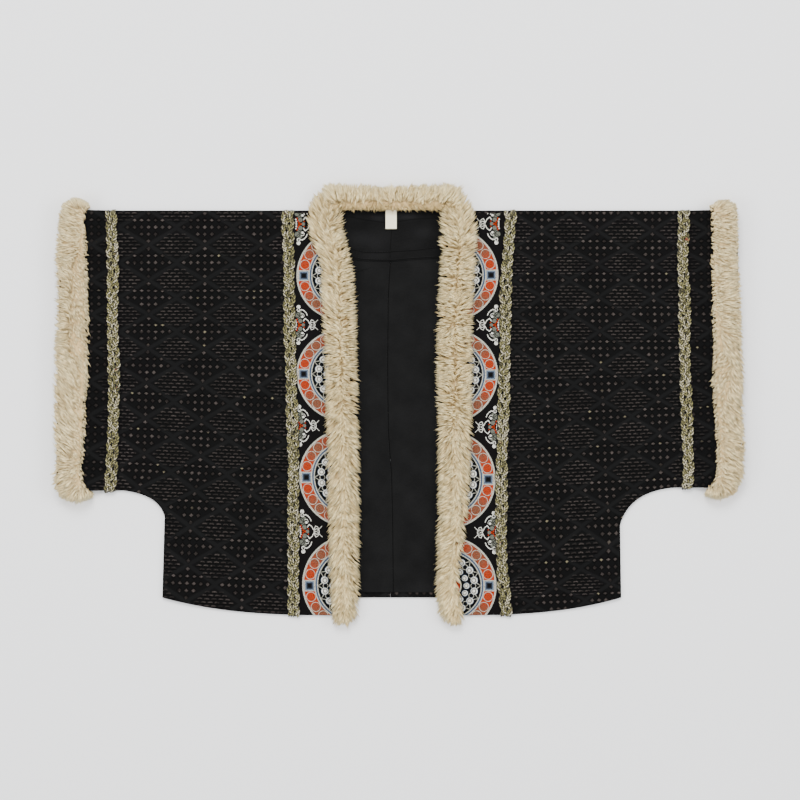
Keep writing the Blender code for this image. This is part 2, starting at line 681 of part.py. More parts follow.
def cuff_fur(half):
    """A ring of fur round a sleeve end. Its inner face follows the flattened sleeve."""
    side = half["side"]
    width = half["cuff_width"]
    slot_low, slot_high = BACK_LIFT - SEAM_GAP, FRONT_LOW + FRONT_LIFT + CLOTH + 1.1
    slot_mid = (slot_low + slot_high) / 2
    y_high, y_low = SHOULDER_Y + 1.6, half["sleeve_low"] - 1.6
    run = spread(y_high, y_low, 11.5)
    back_run = spread(y_low, y_high, 23.0)
    end_steps = 4
    # Each place on the loop: y and z of the inner face, direction of the pile, and its depth
    loop = [(y, slot_high, 0.0, 1.0, RING_TOP) for y in run]
    for k in range(1, end_steps):
        turn = math.pi * k / end_steps
        c, s = math.cos(turn), math.sin(turn)
        depth = RING_END * s + (RING_TOP if c > 0 else slot_low) * (1 - s)
        loop.append((y_low - 0.8 * s, slot_mid + (slot_high - slot_mid) * c, -s, c, depth))
    loop += [(y, slot_low, 0.0, -1.0, slot_low) for y in back_run]
    for k in range(1, end_steps):
        turn = math.pi * k / end_steps
        c, s = math.cos(turn), math.sin(turn)
        depth = RING_END * s + (RING_TOP if c < 0 else slot_low) * (1 - s)
        loop.append((y_high + 0.8 * s, slot_mid - (slot_high - slot_mid) * c, s, -c, depth))
    profile = [(-0.46, 0.0), (-0.5, 0.3), (-0.44, 0.66), (-0.22, 0.96), (0.06, 1.0), (0.34, 0.86),
               (0.48, 0.5), (0.49, 0.2), (0.46, 0.0)]
    size = len(profile)
    points, faces = [], []
    for k, (y, z, out_y, out_z, depth) in enumerate(loop):
        at_end = abs(out_y) > 0.3
        for i, (across, share) in enumerate(profile):
            lump = tuft(k, i) * 0.9 if 0 < i < size - 1 else 0.0
            reach = depth * share
            middle = cuff_x(half, y + out_y * reach)
            if out_z > -0.5:
                reach += lump * share * (0.8 if at_end else 0.5)
            place_z = max(0.0, z + out_z * reach)
            points.append((middle + side * (across * width + lump * (0.7 if across > 0 else -0.7)),
                           y + out_y * reach, place_z))
    count = len(loop)
    for k in range(count):
        for i in range(size):
            j, m = (i + 1) % size, (k + 1) % count
            faces.append((k * size + i, k * size + j, m * size + j, m * size + i))
    return solid(f"fur_cuff_{half['name']}", "fur", points, faces)


def build():
    for old in list(bpy.data.objects):
        bpy.data.objects.remove(old)
    for half in HALVES:
        side = half["side"]
        panel = body_half(half)
        bpy.context.view_layer.update()
        height = panel_top(panel)
        lining_half(half)
        front_ribbon(half, height)
        braid(f"braid_front_{half['name']}", 1 if side < 0 else 2,
              front_hem_y(half, table_value(BRAID_LINES, 1 if side < 0 else 2, BACK_HEM_Y)), height)
        braid(f"braid_sleeve_{half['name']}", 3 if side < 0 else 4, half["sleeve_low"], height)
        front_fur(half)
        cuff_fur(half)
    neck_facing()
    neck_label()
    neck_fur()


build()
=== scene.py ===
# %% [markdown]
# # A fur-edged hanfu jacket, laid flat
# This lesson dresses a packed set of plain solids as a real garment: black jacquard, a black
# lining, plaited braid, a woven ribbon with roundels, and cream imitation fur.
# Every piece is made at the size and place of its solid, so the frame is loaded first and its
# box is kept. All lengths of the garment are in millimetres until a mesh is made from them. The
# camera, the table and the lights are placed in metres.

# %% Load the frame
import contextlib
import functools
import math
from types import SimpleNamespace

import bpy
import numpy as np
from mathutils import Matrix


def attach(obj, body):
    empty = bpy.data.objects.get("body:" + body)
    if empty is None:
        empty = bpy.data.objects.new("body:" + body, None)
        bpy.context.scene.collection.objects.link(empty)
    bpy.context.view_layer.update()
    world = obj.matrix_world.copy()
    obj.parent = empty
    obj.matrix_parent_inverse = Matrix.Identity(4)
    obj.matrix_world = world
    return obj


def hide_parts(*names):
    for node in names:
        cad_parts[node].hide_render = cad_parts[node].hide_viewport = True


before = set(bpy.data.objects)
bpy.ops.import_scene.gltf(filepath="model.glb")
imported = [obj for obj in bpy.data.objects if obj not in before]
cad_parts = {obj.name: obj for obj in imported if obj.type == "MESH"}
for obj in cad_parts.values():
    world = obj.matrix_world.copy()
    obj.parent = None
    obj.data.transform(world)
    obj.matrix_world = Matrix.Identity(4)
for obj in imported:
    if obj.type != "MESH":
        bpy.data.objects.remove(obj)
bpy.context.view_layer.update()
MM = 0.001

# %% [markdown]
# ## Camera, table and light
# The garment lies flat and is seen from straight above. A long lens from three metres keeps the
# outline free of perspective, as a copy stand does. The light is a large soft panel behind the
# neck, a weaker one from each side, and a bright even surround, so that black cloth keeps its
# weave and pale fur keeps soft shadows.

# %% Camera and table
CAMERA_PLACE = (0.00135, 0.0054, 3.0)
TABLE_DROP = 0.0004

bpy.ops.object.select_all(action="DESELECT")
bpy.ops.object.camera_add(location=CAMERA_PLACE, rotation=(0, 0, 0))
camera = bpy.context.object
camera.name = "camera"
camera.data.lens = 100
camera.data.sensor_width = 36
camera.data.clip_end = 50
bpy.context.scene.camera = camera

bpy.ops.mesh.primitive_plane_add(size=9, location=(0, 0, -TABLE_DROP))
table = bpy.context.object
table.name = "table"
print("camera", tuple(round(v, 4) for v in camera.location), "lens", camera.data.lens)

# %% Light
def soft_panel(name, place, size, power):
    """A square light that faces the middle of the garment."""
    bpy.ops.object.light_add(type="AREA", location=place)
    panel = bpy.context.object
    panel.name = name
    panel.data.size = size
    panel.data.energy = power
    panel.rotation_euler = (-panel.location).to_track_quat("-Z", "Y").to_euler()


soft_panel("panel_neck", (-0.4, 2.2, 3.2), 1.8, 150)
soft_panel("panel_left", (-2.6, -0.5, 2.4), 1.4, 42)
soft_panel("panel_right", (2.6, 0.2, 2.4), 1.4, 48)
surround = bpy.data.worlds.new("surround")
surround.use_nodes = True
background = surround.node_tree.nodes["Background"].inputs
background["Color"].default_value = (0.97, 0.98, 1.0, 1)
background["Strength"].default_value = 1.25
bpy.context.scene.world = surround

# %% [markdown]
# ## Shader maths written as sums
# A woven pattern is arithmetic on a place in the cloth: which repeat it is in, which row of
# marks, how far from the middle of a mark. Laying out dozens of Math nodes by hand hides that,
# so one small class wraps a socket and gives it Python's own signs. Any other node comes from
# one method, and colours go through Mix nodes, because a Math node would turn them grey.

# %% A socket with signs
def sign(operation, turned=False):
    """A method that adds one Math node. turned puts the wire itself last."""
    def method(self, *others):
        values = (*others, self) if turned else (self, *others)
        return self.finish.node("ShaderNodeMath", {"operation": operation}, dict(enumerate(values)))
    return method


class Wire:
    """One output socket, with Python's own signs for its maths."""

    __add__, __radd__ = sign("ADD"), sign("ADD", True)
    __sub__, __rsub__ = sign("SUBTRACT"), sign("SUBTRACT", True)
    __mul__, __rmul__ = sign("MULTIPLY"), sign("MULTIPLY", True)
    __truediv__, __abs__, __round__ = sign("DIVIDE"), sign("ABSOLUTE"), sign("ROUND")
    larger, smaller = sign("MAXIMUM"), sign("MINIMUM")
    sine, root, arctan2 = sign("SINE"), sign("SQRT"), sign("ARCTAN2")

    def __init__(self, finish, socket):
        self.finish = finish
        self.socket = socket

    def kept(self, low, high):
        """The value, held between two limits."""
        return self.larger(low).smaller(high)

    def waves(self, repeat):
        """A sine along the value, with that repeat."""
        return (self * (2 * math.pi / repeat)).sine()

    def within(self, edge, soft):
        """1 where the value is under the edge, 0 where it is over, with a soft step between."""
        ends = {"Value": self, "From Min": edge - soft, "From Max": edge + soft, "To Min": 1.0, "To Max": 0.0}
        return self.finish.node("ShaderNodeMapRange", {"interpolation_type": "SMOOTHSTEP"}, ends)

    def beyond(self, edge, soft):
        """0 where the value is under the edge, 1 where it is over, with a soft step between."""
        return (self * -1.0).within(-edge, soft)

    def wrapped(self, repeat):
        """Distance from the middle of the nearest repeat, with its sign."""
        return self - round(self / repeat) * repeat

    def out_of(self, name):
        """Another output of the same node."""
        return Wire(self.finish, self.socket.node.outputs[name])


# %% A finish and its nodes
def paint(red, green, blue):
    """A linear colour from the 0 to 255 values that a screen shows."""
    channels = []
    for value in (red, green, blue):
        c = value / 255
        channels.append(c / 12.92 if c <= 0.04045 else ((c + 0.055) / 1.055) ** 2.4)
    return (*channels, 1.0)


def grey(value):
    return paint(value, value, value)


class Finish:
    """A material, and the one method that adds any node to it."""

    def __init__(self, name, **fixed):
        self.material = bpy.data.materials.new(name)
        self.material.use_nodes = True
        self.tree = self.material.node_tree
        self.shader = self.tree.nodes["Principled BSDF"]
        self.count = 0
        for socket, value in fixed.items():
            self.shader.inputs[socket.replace("_", " ")].default_value = value

    def node(self, kind, settings=None, inputs=None, output=0):
        made = self.tree.nodes.new(kind)
        self.count += 1
        for key, value in (settings or {}).items():
            if key == "stops":
                self._set_stops(made.color_ramp, value)
            else:
                setattr(made, key, value)
        for key, value in (inputs or {}).items():
            if isinstance(value, Wire):
                self.tree.links.new(value.socket, made.inputs[key])
            else:
                made.inputs[key].default_value = value
        return Wire(self, made.outputs[output])

    def _set_stops(self, ramp, stops):
        while len(ramp.elements) > 1:
            ramp.elements.remove(ramp.elements[-1])
        for k, (place, colour) in enumerate(stops):
            stop = ramp.elements[0] if k == 0 else ramp.elements.new(place)
            stop.position = place
            stop.color = colour

    def blend(self, share, first, second):
        """first where share is 0 and second where it is 1."""
        return self.node("ShaderNodeMix", {"data_type": "RGBA"}, {0: share, 6: first, 7: second}, output=2)

    def painted(self, colour, *layers):
        """The colour under some layers, each of them a share and what it blends in."""
        for share, layer in layers:
            colour = self.blend(share, colour, layer)
        return colour

    def place(self):
        """Object coordinates in mm, as three wires."""
        return self._in_mm(self.node("ShaderNodeTexCoord", output="Object"), "XYZ")

    def chart(self, name):
        """The two values of a UV map, in mm."""
        return self._in_mm(self.node("ShaderNodeUVMap", {"uv_map": name}), "XY")

    def _in_mm(self, where, axes):
        parts = self.node("ShaderNodeSeparateXYZ", inputs={0: where})
        return [parts.out_of(axis) * 1000 for axis in axes]

    def noted(self, name):
        """A value that is stored on the points of the mesh."""
        return self.node("ShaderNodeAttribute", {"attribute_name": name}, output="Fac")

    def noise(self, vector, scale, detail, rough=0.5):
        inputs = {"Vector": vector, "Scale": scale, "Detail": detail, "Roughness": rough}
        return self.node("ShaderNodeTexNoise", {"noise_dimensions": "3D"}, inputs)

    def chance(self, *cell):
        """A random value from 0 to 1 for each cell."""
        inputs = {"Vector": self.vector(*cell)}
        return self.node("ShaderNodeTexWhiteNoise", {"noise_dimensions": "3D"}, inputs)

    def vector(self, x, y, z):
        return self.node("ShaderNodeCombineXYZ", inputs={0: x, 1: y, 2: z})

    def bump(self, height, depth, strength):
        """A normal for a surface that stands up by the depth in mm where the height is 1."""
        inputs = {"Height": height, "Distance": depth * MM, "Strength": strength}
        return self.node("ShaderNodeBump", inputs=inputs)

    def feed(self, **sockets):
        for name, value in sockets.items():
            self.tree.links.new(value.socket, self.shader.inputs[name.replace("_", " ")])
        print(self.material.name, "nodes:", self.count)
        return self.material


# %% [markdown]
# ## The table top
# A plain pale surface, a little rough, so that it takes soft shadows and no reflections.

# %% Table finish
TABLE_GREY = 250
table.data.materials.append(Finish("table_top", Base_Color=grey(TABLE_GREY), Roughness=0.9).material)
print("table colour", round(grey(TABLE_GREY)[0], 3))

# %% [markdown]
# ## The lie of the cloth
# The jacket is one cloth wall on another: the back on the table, the lining on it, and the
# fronts on top. The tables below hold the lines that the pieces share, and a few functions turn
# them into heights. Each is written for whole arrays of places, because a panel has thousands.

# %% Shared sizes
SHOULDER_Y = 261.0
BACK_HEM_Y = -261.0
BACK_NECK_Y = 264.0
CENTRE_BACK_X = -11.5
SEAM_HALF_GAP = 0.15
FOLD_DEPTH = 3.0
CLOTH = 1.6
LINING_TOP = 2.9
FRONT_LOW = 3.6
HEM_TURN = 7.0
HEM_DROP = 24.0
CUFF_RISE = 36.0
BACK_LIFT = 7.8
FRONT_LIFT = 9.0
MOUTH_MARGIN = 4.0
FUR_OVER_CLOTH = 14.0
BRAID_WIDTH = 18.0

HALVES = [
    SimpleNamespace(name="left", side=-1, cuff_top=-438.8, cuff_low=-445.0, cuff_width=40.0, top_lean=4.5,
                    low_lean=4.5, sleeve_low=-116.0, arm_start=(-372.0, -116.0), arm_bend=(-322.0, -122.0),
                    arm_end=(-315.5, -152.0), hem_side=-318.6),
    SimpleNamespace(name="right", side=1, cuff_top=440.4, cuff_low=447.0, cuff_width=36.0, top_lean=1.0,
                    low_lean=8.0, sleeve_low=-112.0, arm_start=(372.0, -112.0), arm_bend=(310.0, -117.0),
                    arm_end=(297.5, -163.0), hem_side=299.0),
]

# y, then the middle and the width of the fur on the left front, then the same on the right
FRONT_FUR = np.array([
    (297.0, -83.0, 20.0, 62.0, 14.0), (288.0, -91.0, 34.0, 69.5, 30.0), (275.0, -96.0, 45.0, 74.5, 39.0),
    (262.0, -98.0, 46.5, 77.0, 46.5), (243.0, -99.2, 49.0, 79.8, 50.0), (228.0, -97.4, 50.0, 80.2, 51.0),
    (212.0, -91.3, 47.0, 80.3, 50.0), (190.0, -84.5, 44.5, 79.3, 48.0), (140.0, -81.5, 46.5, 76.0, 47.5),
    (60.0, -78.5, 45.0, 75.0, 49.0), (-50.0, -75.5, 44.0, 74.8, 46.5), (-157.0, -74.5, 43.0, 71.8, 40.5),
    (-217.0, -73.8, 41.0, 67.5, 34.6), (-244.0, -73.0, 39.5, 66.0, 33.0), (-272.0, -72.6, 37.0, 70.5, 38.0),
    (-297.0, -73.0, 33.0, 70.5, 30.0),
])

# y, then the middle of the braid on the left front, right front, left sleeve and right sleeve
BRAID_LINES = np.array([
    (262.0, -150.4, 150.4, -388.0, 384.3), (190.0, -148.8, 145.8, -384.9, 382.2),
    (140.0, -147.8, 143.9, -385.8, 383.9), (90.0, -146.5, 143.4, -385.5, 384.1),
    (40.0, -145.2, 142.0, -384.6, 385.8), (-35.0, -143.6, 139.3, -384.8, 388.6),
    (-90.0, -142.6, 138.1, -387.0, 389.6), (-118.0, -142.4, 138.1, -388.5, 387.5),
    (-197.0, -141.8, 138.6, -388.5, 387.5), (-240.0, -141.8, 140.5, -388.5, 387.5),
    (-289.0, -141.8, 145.0, -388.5, 387.5),
])

# How the weave lies on each front: y, how far it has drifted sideways, and its place along the cloth
WEAVE = {
    "left": np.array([(261.0, 0.0, 261.0), (190.6, 0.0, 190.15), (143.5, 0.0, 142.1), (97.5, 0.0, 94.05),
                      (52.0, -2.0, 46.0), (5.0, -3.7, -2.05), (-43.0, -5.0, -50.1), (-90.0, -7.4, -98.15),
                      (-137.0, -17.0, -146.2), (-188.0, -20.5, -194.25), (-239.0, -24.0, -242.3),
                      (-297.0, -28.0, -300.0)]),
    "right": np.array([(261.0, 0.0, 261.0), (210.3, 0.0, 210.3), (167.0, 0.0, 162.9), (121.0, 3.1, 115.5),
                       (75.0, 4.3, 68.1), (27.5, 6.1, 20.7), (-18.6, 9.2, -26.7), (-66.0, 10.4, -74.1),
                       (-115.0, 12.3, -121.5), (-164.0, 16.6, -168.9), (-220.0, 15.3, -216.3),
                       (-264.0, 21.5, -263.7), (-297.0, 24.0, -297.0)]),
}

# Soft creases of the fronts: middle x and y, direction in degrees, half length, half width, height
CREASES = [
    (-300, -112, 38, 46, 11, 1.2), (-345, -60, 74, 40, 12, 0.9), (-262, -190, 80, 60, 15, 1.3),
    (-205, -150, 96, 70, 16, 1.2), (-240, 60, 20, 60, 18, 0.8), (-200, 200, 152, 55, 14, 0.9),
    (-330, 215, 12, 42, 12, 0.8), (286, -118, 140, 50, 12, 1.3), (338, -52, 108, 46, 13, 0.9),
    (250, -200, 96, 62, 15, 1.3), (196, -140, 84, 66, 16, 1.1), (232, 40, 164, 64, 18, 0.8),
    (210, 190, 28, 56, 14, 0.9), (330, 205, 170, 44, 12, 0.8),
]
print("fur rows", len(FRONT_FUR), "braid rows", len(BRAID_LINES), "creases", len(CREASES))


# %% Heights of the layers
def along(rows, column, y):
    """A smooth curve through one column of a table whose first column is y, read at y."""
    ys, values = rows[::-1, 0], rows[::-1, column]
    slopes = np.gradient(values, ys)
    y = np.clip(y, ys[0], ys[-1])
    i = np.clip(np.searchsorted(ys, y) - 1, 0, len(ys) - 2)
    span = ys[i + 1] - ys[i]
    u = (y - ys[i]) / span
    return (values[i] * (1 + 2 * u) * (1 - u) ** 2 + values[i + 1] * u * u * (3 - 2 * u)
            + span * (slopes[i] * u * (1 - u) ** 2 - slopes[i + 1] * u * u * (1 - u)))


def ease(u):
    u = np.clip(u, 0.0, 1.0)
    return u * u * (3 - 2 * u)


def unit(v):
    return v / np.maximum(np.linalg.norm(v, axis=1), 1e-9)[:, None]


def cuff_x(half, y):
    """Middle of the fur ring at a sleeve end."""
    share = (SHOULDER_Y - y) / (SHOULDER_Y - half.sleeve_low)
    lean = half.top_lean * ease((y - SHOULDER_Y + 35.0) / 50.0)
    lean = lean + half.low_lean * ease((half.sleeve_low + 25.0 - y) / 42.0)
    return half.cuff_top + (half.cuff_low - half.cuff_top) * share - half.side * lean


def cuff_rise(half, x, y):
    ring_edge = np.abs(cuff_x(half, y)) - half.cuff_width / 2
    return ease((np.abs(x) - ring_edge + CUFF_RISE) / CUFF_RISE)


def back_low(half, x, y):
    return BACK_LIFT * cuff_rise(half, x, y)


def soft_ridges(table, x, y, lift):
    """Adds long soft ridges to a height."""
    for mid_x, mid_y, turn, length, width, height in table:
        c, s = math.cos(math.radians(turn)), math.sin(math.radians(turn))
        run = np.clip(np.abs(((x - mid_x) * c + (y - mid_y) * s) / length), 0, 1)
        off = ((y - mid_y) * c - (x - mid_x) * s) / width
        lift = lift + height * (1 - run * run) ** 2 * np.exp(-off * off)
    return lift


def front_top(half, x, y):
    """Top of a front: soft waves and creases, a drop past the back hem, a rise at the cuff."""
    wave = 0.2 * np.sin(x / 41.0 + y / 67.0) + 0.2 * np.sin(y / 53.0 - x / 90.0)
    drop = 2.2 * ease((BACK_HEM_Y - 1.0 - y) / 22.0)
    creases = soft_ridges(CREASES, x, y, np.zeros_like(x))
    return FRONT_LOW + wave + creases - drop + FRONT_LIFT * cuff_rise(half, x, y) + CLOTH


def front_fur(side, y):
    """Middle x and half width of the fur on a front."""
    column = 1 if side < 0 else 3
    return along(FRONT_FUR, column, y), along(FRONT_FUR, column + 1, y) / 2


def front_edge_x(half, y):
    """Cut edge of a front, hidden in the fur."""
    middle, half_width = front_fur(half.side, y)
    return middle + half.side * (half_width - FUR_OVER_CLOTH)


def fur_inner_x(side, y):
    middle, half_width = front_fur(side, y)
    return middle - side * half_width


def front_hem_y(half, x):
    front = front_edge_x(half, BACK_HEM_Y)
    share = np.clip((half.hem_side - x) / (half.hem_side - front), 0, 1)
    return BACK_HEM_Y - HEM_DROP * (1 - (1 - share) ** 2.8)


chest = np.array([-200.0]), np.array([0.0])
print("front over the table at the chest:", front_top(HALVES[0], *chest).round(2))

# %% [markdown]
# ## Cutting a panel
# A tailor lays a paper pattern on the cloth and cuts round it. Here the paper pattern is a filled
# circle whose points are moved to the outline. Straight cuts across it, made with Bisect, then
# give an even net inside an exact edge, which later follows the creases. A filled outline alone
# would have no points inside to bend.

# %% Cutting tools
def spread(start, end, step):
    """Evenly spaced values from start to end, about one step apart, with both ends."""
    return list(np.linspace(start, end, max(1, round(abs(end - start) / step)) + 1))


def anticlockwise(outline):
    area = sum(a[0] * b[1] - b[0] * a[1] for a, b in zip(outline, outline[1:] + outline[:1]))
    return outline if area > 0 else outline[::-1]


def pick(piece):
    """Selects one piece and no other."""
    bpy.ops.object.select_all(action="DESELECT")
    piece.select_set(True)
    bpy.context.view_layer.objects.active = piece


@contextlib.contextmanager
def editing():
    """Edit mode for the lines under it."""
    bpy.ops.object.mode_set(mode="EDIT")
    yield
    bpy.ops.object.mode_set(mode="OBJECT")


def select_edges(piece, wanted):
    """Selects the edges of the active piece for which the test says so."""
    with editing():
        bpy.ops.mesh.select_mode(type="EDGE")
        bpy.ops.mesh.select_all(action="DESELECT")
    for edge in piece.data.edges:
        edge.select = wanted(edge)


def slice_mesh(places, axis):
    """Cuts the mesh in edit mode straight across an axis, at those places in metres."""
    across = np.eye(3)[axis]
    for place in places:
        bpy.ops.mesh.select_all(action="SELECT")
        bpy.ops.mesh.bisect(plane_co=place * across, plane_no=across)


def cut_panel(name, outline, step):
    """A flat sheet with that outline in mm, cut into a net of squares of that step."""
    outline = anticlockwise(outline)
    bpy.ops.object.select_all(action="DESELECT")
    bpy.ops.mesh.primitive_circle_add(vertices=len(outline), fill_type="NGON")
    sheet = bpy.context.object
    sheet.name = sheet.data.name = name
    corners = np.array([(x, y, 0.0) for x, y in outline]) * MM
    sheet.data.vertices.foreach_set("co", corners.ravel())
    low, high = corners.min(0) / MM, corners.max(0) / MM
    with editing():
        for axis in (0, 1):
            cuts = range(math.ceil(low[axis] / step), math.floor(high[axis] / step) + 1)
            slice_mesh([k * step * MM for k in cuts], axis)
        bpy.ops.mesh.select_all(action="SELECT")
        bpy.ops.mesh.remove_doubles(threshold=0.05 * MM)
    return sheet


def cut_area(*panels):
    """Area of flat panels in square metres."""
    return sum(face.area for panel in panels for face in panel.data.polygons)


def points_of(piece):
    """The points of a mesh in mm, as an array."""
    found = np.empty(len(piece.data.vertices) * 3)
    piece.data.vertices.foreach_get("co", found)
    return found.reshape(-1, 3) / MM


def move_points(piece, places):
    piece.data.vertices.foreach_set("co", (np.asarray(places) * MM).ravel())
    piece.data.update()


def solidify(piece, thickness, **settings):
    """Gives a sheet a thickness in mm, behind its face."""
    pick(piece)
    bpy.ops.object.modifier_add(type="SOLIDIFY")
    modifier = piece.modifiers[-1]
    modifier.thickness, modifier.offset, modifier.use_even_offset = thickness * MM, -1.0, True
    for key, value in settings.items():
        setattr(modifier, key, value)
    bpy.ops.object.modifier_apply(modifier=modifier.name)


def join_pieces(name, first, second):
    pick(first)
    second.select_set(True)
    bpy.ops.object.join()
    whole = bpy.context.object
    whole.name = whole.data.name = name
    return whole


def face_outwards(piece):
    pick(piece)
    with editing():
        bpy.ops.mesh.select_all(action="SELECT")
        bpy.ops.mesh.normals_make_consistent(inside=False)


def shade_soft(piece, degrees):
    pick(piece)
    bpy.ops.object.shade_smooth_by_angle(angle=math.radians(degrees))


def mesh_arrays(piece):
    """Corner indices and face sizes of a mesh."""
    corners = np.empty(len(piece.data.loops), int)
    piece.data.loops.foreach_get("vertex_index", corners)
    return corners, np.array([len(face.vertices) for face in piece.data.polygons])


def chart_points(piece, name, u, v):
    """A UV map in metres from two values in mm for each point."""
    layer = piece.data.uv_layers.new(name=name)
    corners = mesh_arrays(piece)[0]
    layer.data.foreach_set("uv", (np.column_stack([u, v])[corners] * MM).ravel())


def note_points(piece, **notes):
    """Stores values on the points of a mesh, for its finish to read."""
    for key, values in notes.items():
        layer = piece.data.attributes.new(key, "FLOAT", "POINT")
        layer.data.foreach_set("value", np.asarray(values, np.float32))


def finished(piece, material, solid_nodes):
    """Gives a piece its finish, hangs it under the root and hides the solids that it stands for."""
    piece.data.materials.clear()
    piece.data.materials.append(material)
    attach(piece, "root")
    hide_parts(*solid_nodes)
    print(piece.name, "triangles:", sum(len(face.vertices) - 2 for face in piece.data.polygons))


def finished_sheet(sheet, material, node, area):
    """Finishes a sheet with soft shading and its finish, in place of its solid. The area is not used."""
    shade_soft(sheet, 40)
    finished(sheet, material, [node])


# %% [markdown]
# ## Black jacquard
# The shell cloth is a black ground with two kinds of taupe diamonds in a brick layout. One kind
# is built of small crosses, seven wide and five high, and the other of short dashes in rows.
# The marks are floating threads, so they are a little lighter, raised and uneven. The ground is
# painted darker in a ring round each cross and just below each dash, as painted shade and painted
# shadow of the raised threads, and a rare bright fleck on a cross is a painted glint. The repeat is
# about 75 by 48 mm, read from the UV map of the unfolded cloth.

# %% Jacquard finish
MARK_STEP = 9.4
DASH_ROW = 4.75
RIB = 1.35


def jacquard(name, start_x, start_y, step_u, step_v):
    """The shell cloth, from the middle of one diamond of crosses and the repeat both ways."""
    cloth = Finish(name, Roughness=0.8, Specular_IOR_Level=0.03)
    u, v = cloth.chart("cloth")
    x, y = u - start_x, v - start_y
    spot = cloth.vector(u, v, 0.0)
    wobble = cloth.noise(spot, 0.35, 1.0) - 0.5
    # Crosses, seven wide and five high
    cx, cy = x.wrapped(step_u), y.wrapped(step_v)
    column, row = round(cx / MARK_STEP), round(cy / MARK_STEP)
    off_x = abs(cx - column * MARK_STEP + wobble * 1.6)
    off_y = abs(cy - row * MARK_STEP + wobble * 1.2)
    upper = row.beyond(0.5, 0.1)
    second = abs(row - 1.0).within(0.5, 0.1)
    in_crosses = (abs(column) + abs(row) * 1.5).within(3.05 + upper * 0.6, 0.1)
    tall = 2.5 - second * 0.8
    cross = (off_x / 3.1 + off_y / (tall + 0.4)).within(0.84, 0.4)
    # Painted shade: the ground in a ring round each cross is darker, where the raised threads shade it
    shade_round_cross = (off_x / 4.6 + off_y / 4.4).within(0.9, 0.4) * in_crosses
    crosses = cross * in_crosses
    # Dashes, in rows that are shifted by half a step
    dx, dy = (x - step_u / 2).wrapped(step_u), (y - step_v / 2).wrapped(step_v)
    line = round(dy / DASH_ROW)
    even = 1 - abs(line.wrapped(2.0))
    step_x = (dx + even * (MARK_STEP / 2)).wrapped(MARK_STEP)
    in_dashes = (abs(dx - step_x) / 31.0 + abs(line) * DASH_ROW / 20.5).within(1.0, 0.04)
    step_x = step_x + wobble * 2.0
    step_y = dy - line * DASH_ROW + wobble * 1.3 + step_x * step_x * 0.05 - 0.3
    dashes = abs(step_x).within(3.1, 0.9) * abs(step_y).within(0.8, 0.55) * in_dashes
    # Painted shadow: the ground just below each dash is darker
    shadow_below_dash = abs(step_x).within(4.4, 0.8) * abs(step_y + 2.0).within(1.0, 0.7) * in_dashes
    # The ground is darker inside the diamonds than in the plain bands between them
    inside = (abs(cx) / 36.0 + abs(cy) / 21.5).within(0.97, 0.06)
    inside = inside.larger((abs(dx) / 34.0 + abs(dy) / 20.5).within(0.97, 0.06))
    # Uneven threads
    column, row = round(x / MARK_STEP), round(y / (MARK_STEP / 2))
    chance, other = cloth.chance(column, row, 0.0), cloth.chance(column, 7.0, row)
    # Painted glint: a rare bright fleck near the middle of a cross
    fleck = (chance * -1.0).within(-0.985 + second * 0.06, 0.01)
    fleck = fleck * (off_x / 1.8 + off_y / 1.6).within(0.9, 0.4) * in_crosses
    speckle = (cloth.noise(cloth.vector(u * 0.9, v * 0.9, 4.0), 1.0, 2.0, 0.7) * 3.2 - 0.85).kept(0.1, 1.7)
    marks = (crosses * (0.36 + other * 0.36 + second * 0.1) + dashes * (0.26 + other * 0.26)) * speckle
    # The marks are dimmer beyond the sleeve braids
    marks = marks * (abs(u).within(388.0, 3.0) * 0.5 + 0.5)
    # Fine ribs of the weave, slow shading, a little lint, and the painted shade round the marks
    rib = v.waves(RIB) * 0.5 + 0.5
    slow = cloth.noise(spot, 0.02, 3.0)
    fine = cloth.noise(cloth.vector(u * 0.6, v * 2.0, 0.0), 1.4, 2.0)
    shade_round_marks = shade_round_cross + shadow_below_dash
    shade = (rib * 0.2 + fine * 0.5 + slow * 0.3) * (1 - inside * 0.55) - shade_round_marks * 0.35
    ground = cloth.blend(shade.larger(0.0), grey(5), grey(27))
    thread = cloth.blend(other, paint(57, 51, 48), paint(88, 80, 76))
    # The marks in their thread colour, with the painted glints on top
    colour = cloth.painted(ground, (marks.smaller(1.0), thread), (fleck, paint(108, 102, 78)))
    height = marks * 0.8 + rib * 0.15 + fine * 0.25 - shade_round_marks * 0.2
    return cloth.feed(Base_Color=colour, Normal=cloth.bump(height, 0.4, 0.6))


cloth_finishes = {
    "left": jacquard("jacquard_left", -337.5, 238.2, 75.8, 48.05),
    "right": jacquard("jacquard_right", 267.0, 210.3, 74.6, 47.4),
}

# %% [markdown]
# ## The two halves of the shell
# In this traditional cut each half is one length of cloth that runs from the front hem over the
# shoulder to the back hem, with the sleeve cut in one with it. A seam joins front and back under
# the sleeve and down the side. Each half is cut as a front and a back, laid at its height,
# bridged over the shoulder and along the seam, and given its thickness with Solidify.

# %% Outlines of a half
EDGE_STEP = 8


def bend(start, middle, end, count):
    """Points of a quadratic curve after its start."""
    points = []
    for k in range(1, count + 1):
        u = k / count
        points.append(tuple((1 - u) ** 2 * a + 2 * u * (1 - u) * b + u * u * c
                            for a, b, c in zip(start, middle, end)))
    return points


def mouth_x(half, y):
    return cuff_x(half, y) + half.side * (half.cuff_width / 2 - MOUTH_MARGIN)


def sewn_line(half):
    """Along the sleeve, round the underarm and down the side to the hem."""
    low = half.sleeve_low
    points = [(x, low) for x in spread(mouth_x(half, low), half.arm_start[0], EDGE_STEP)]
    points += bend(half.arm_start, half.arm_bend, half.arm_end, 16)
    side_ends = zip(half.arm_end, (half.hem_side, BACK_HEM_Y))
    return points + list(zip(*(np.linspace(start, end, 19)[1:] for start, end in side_ends)))


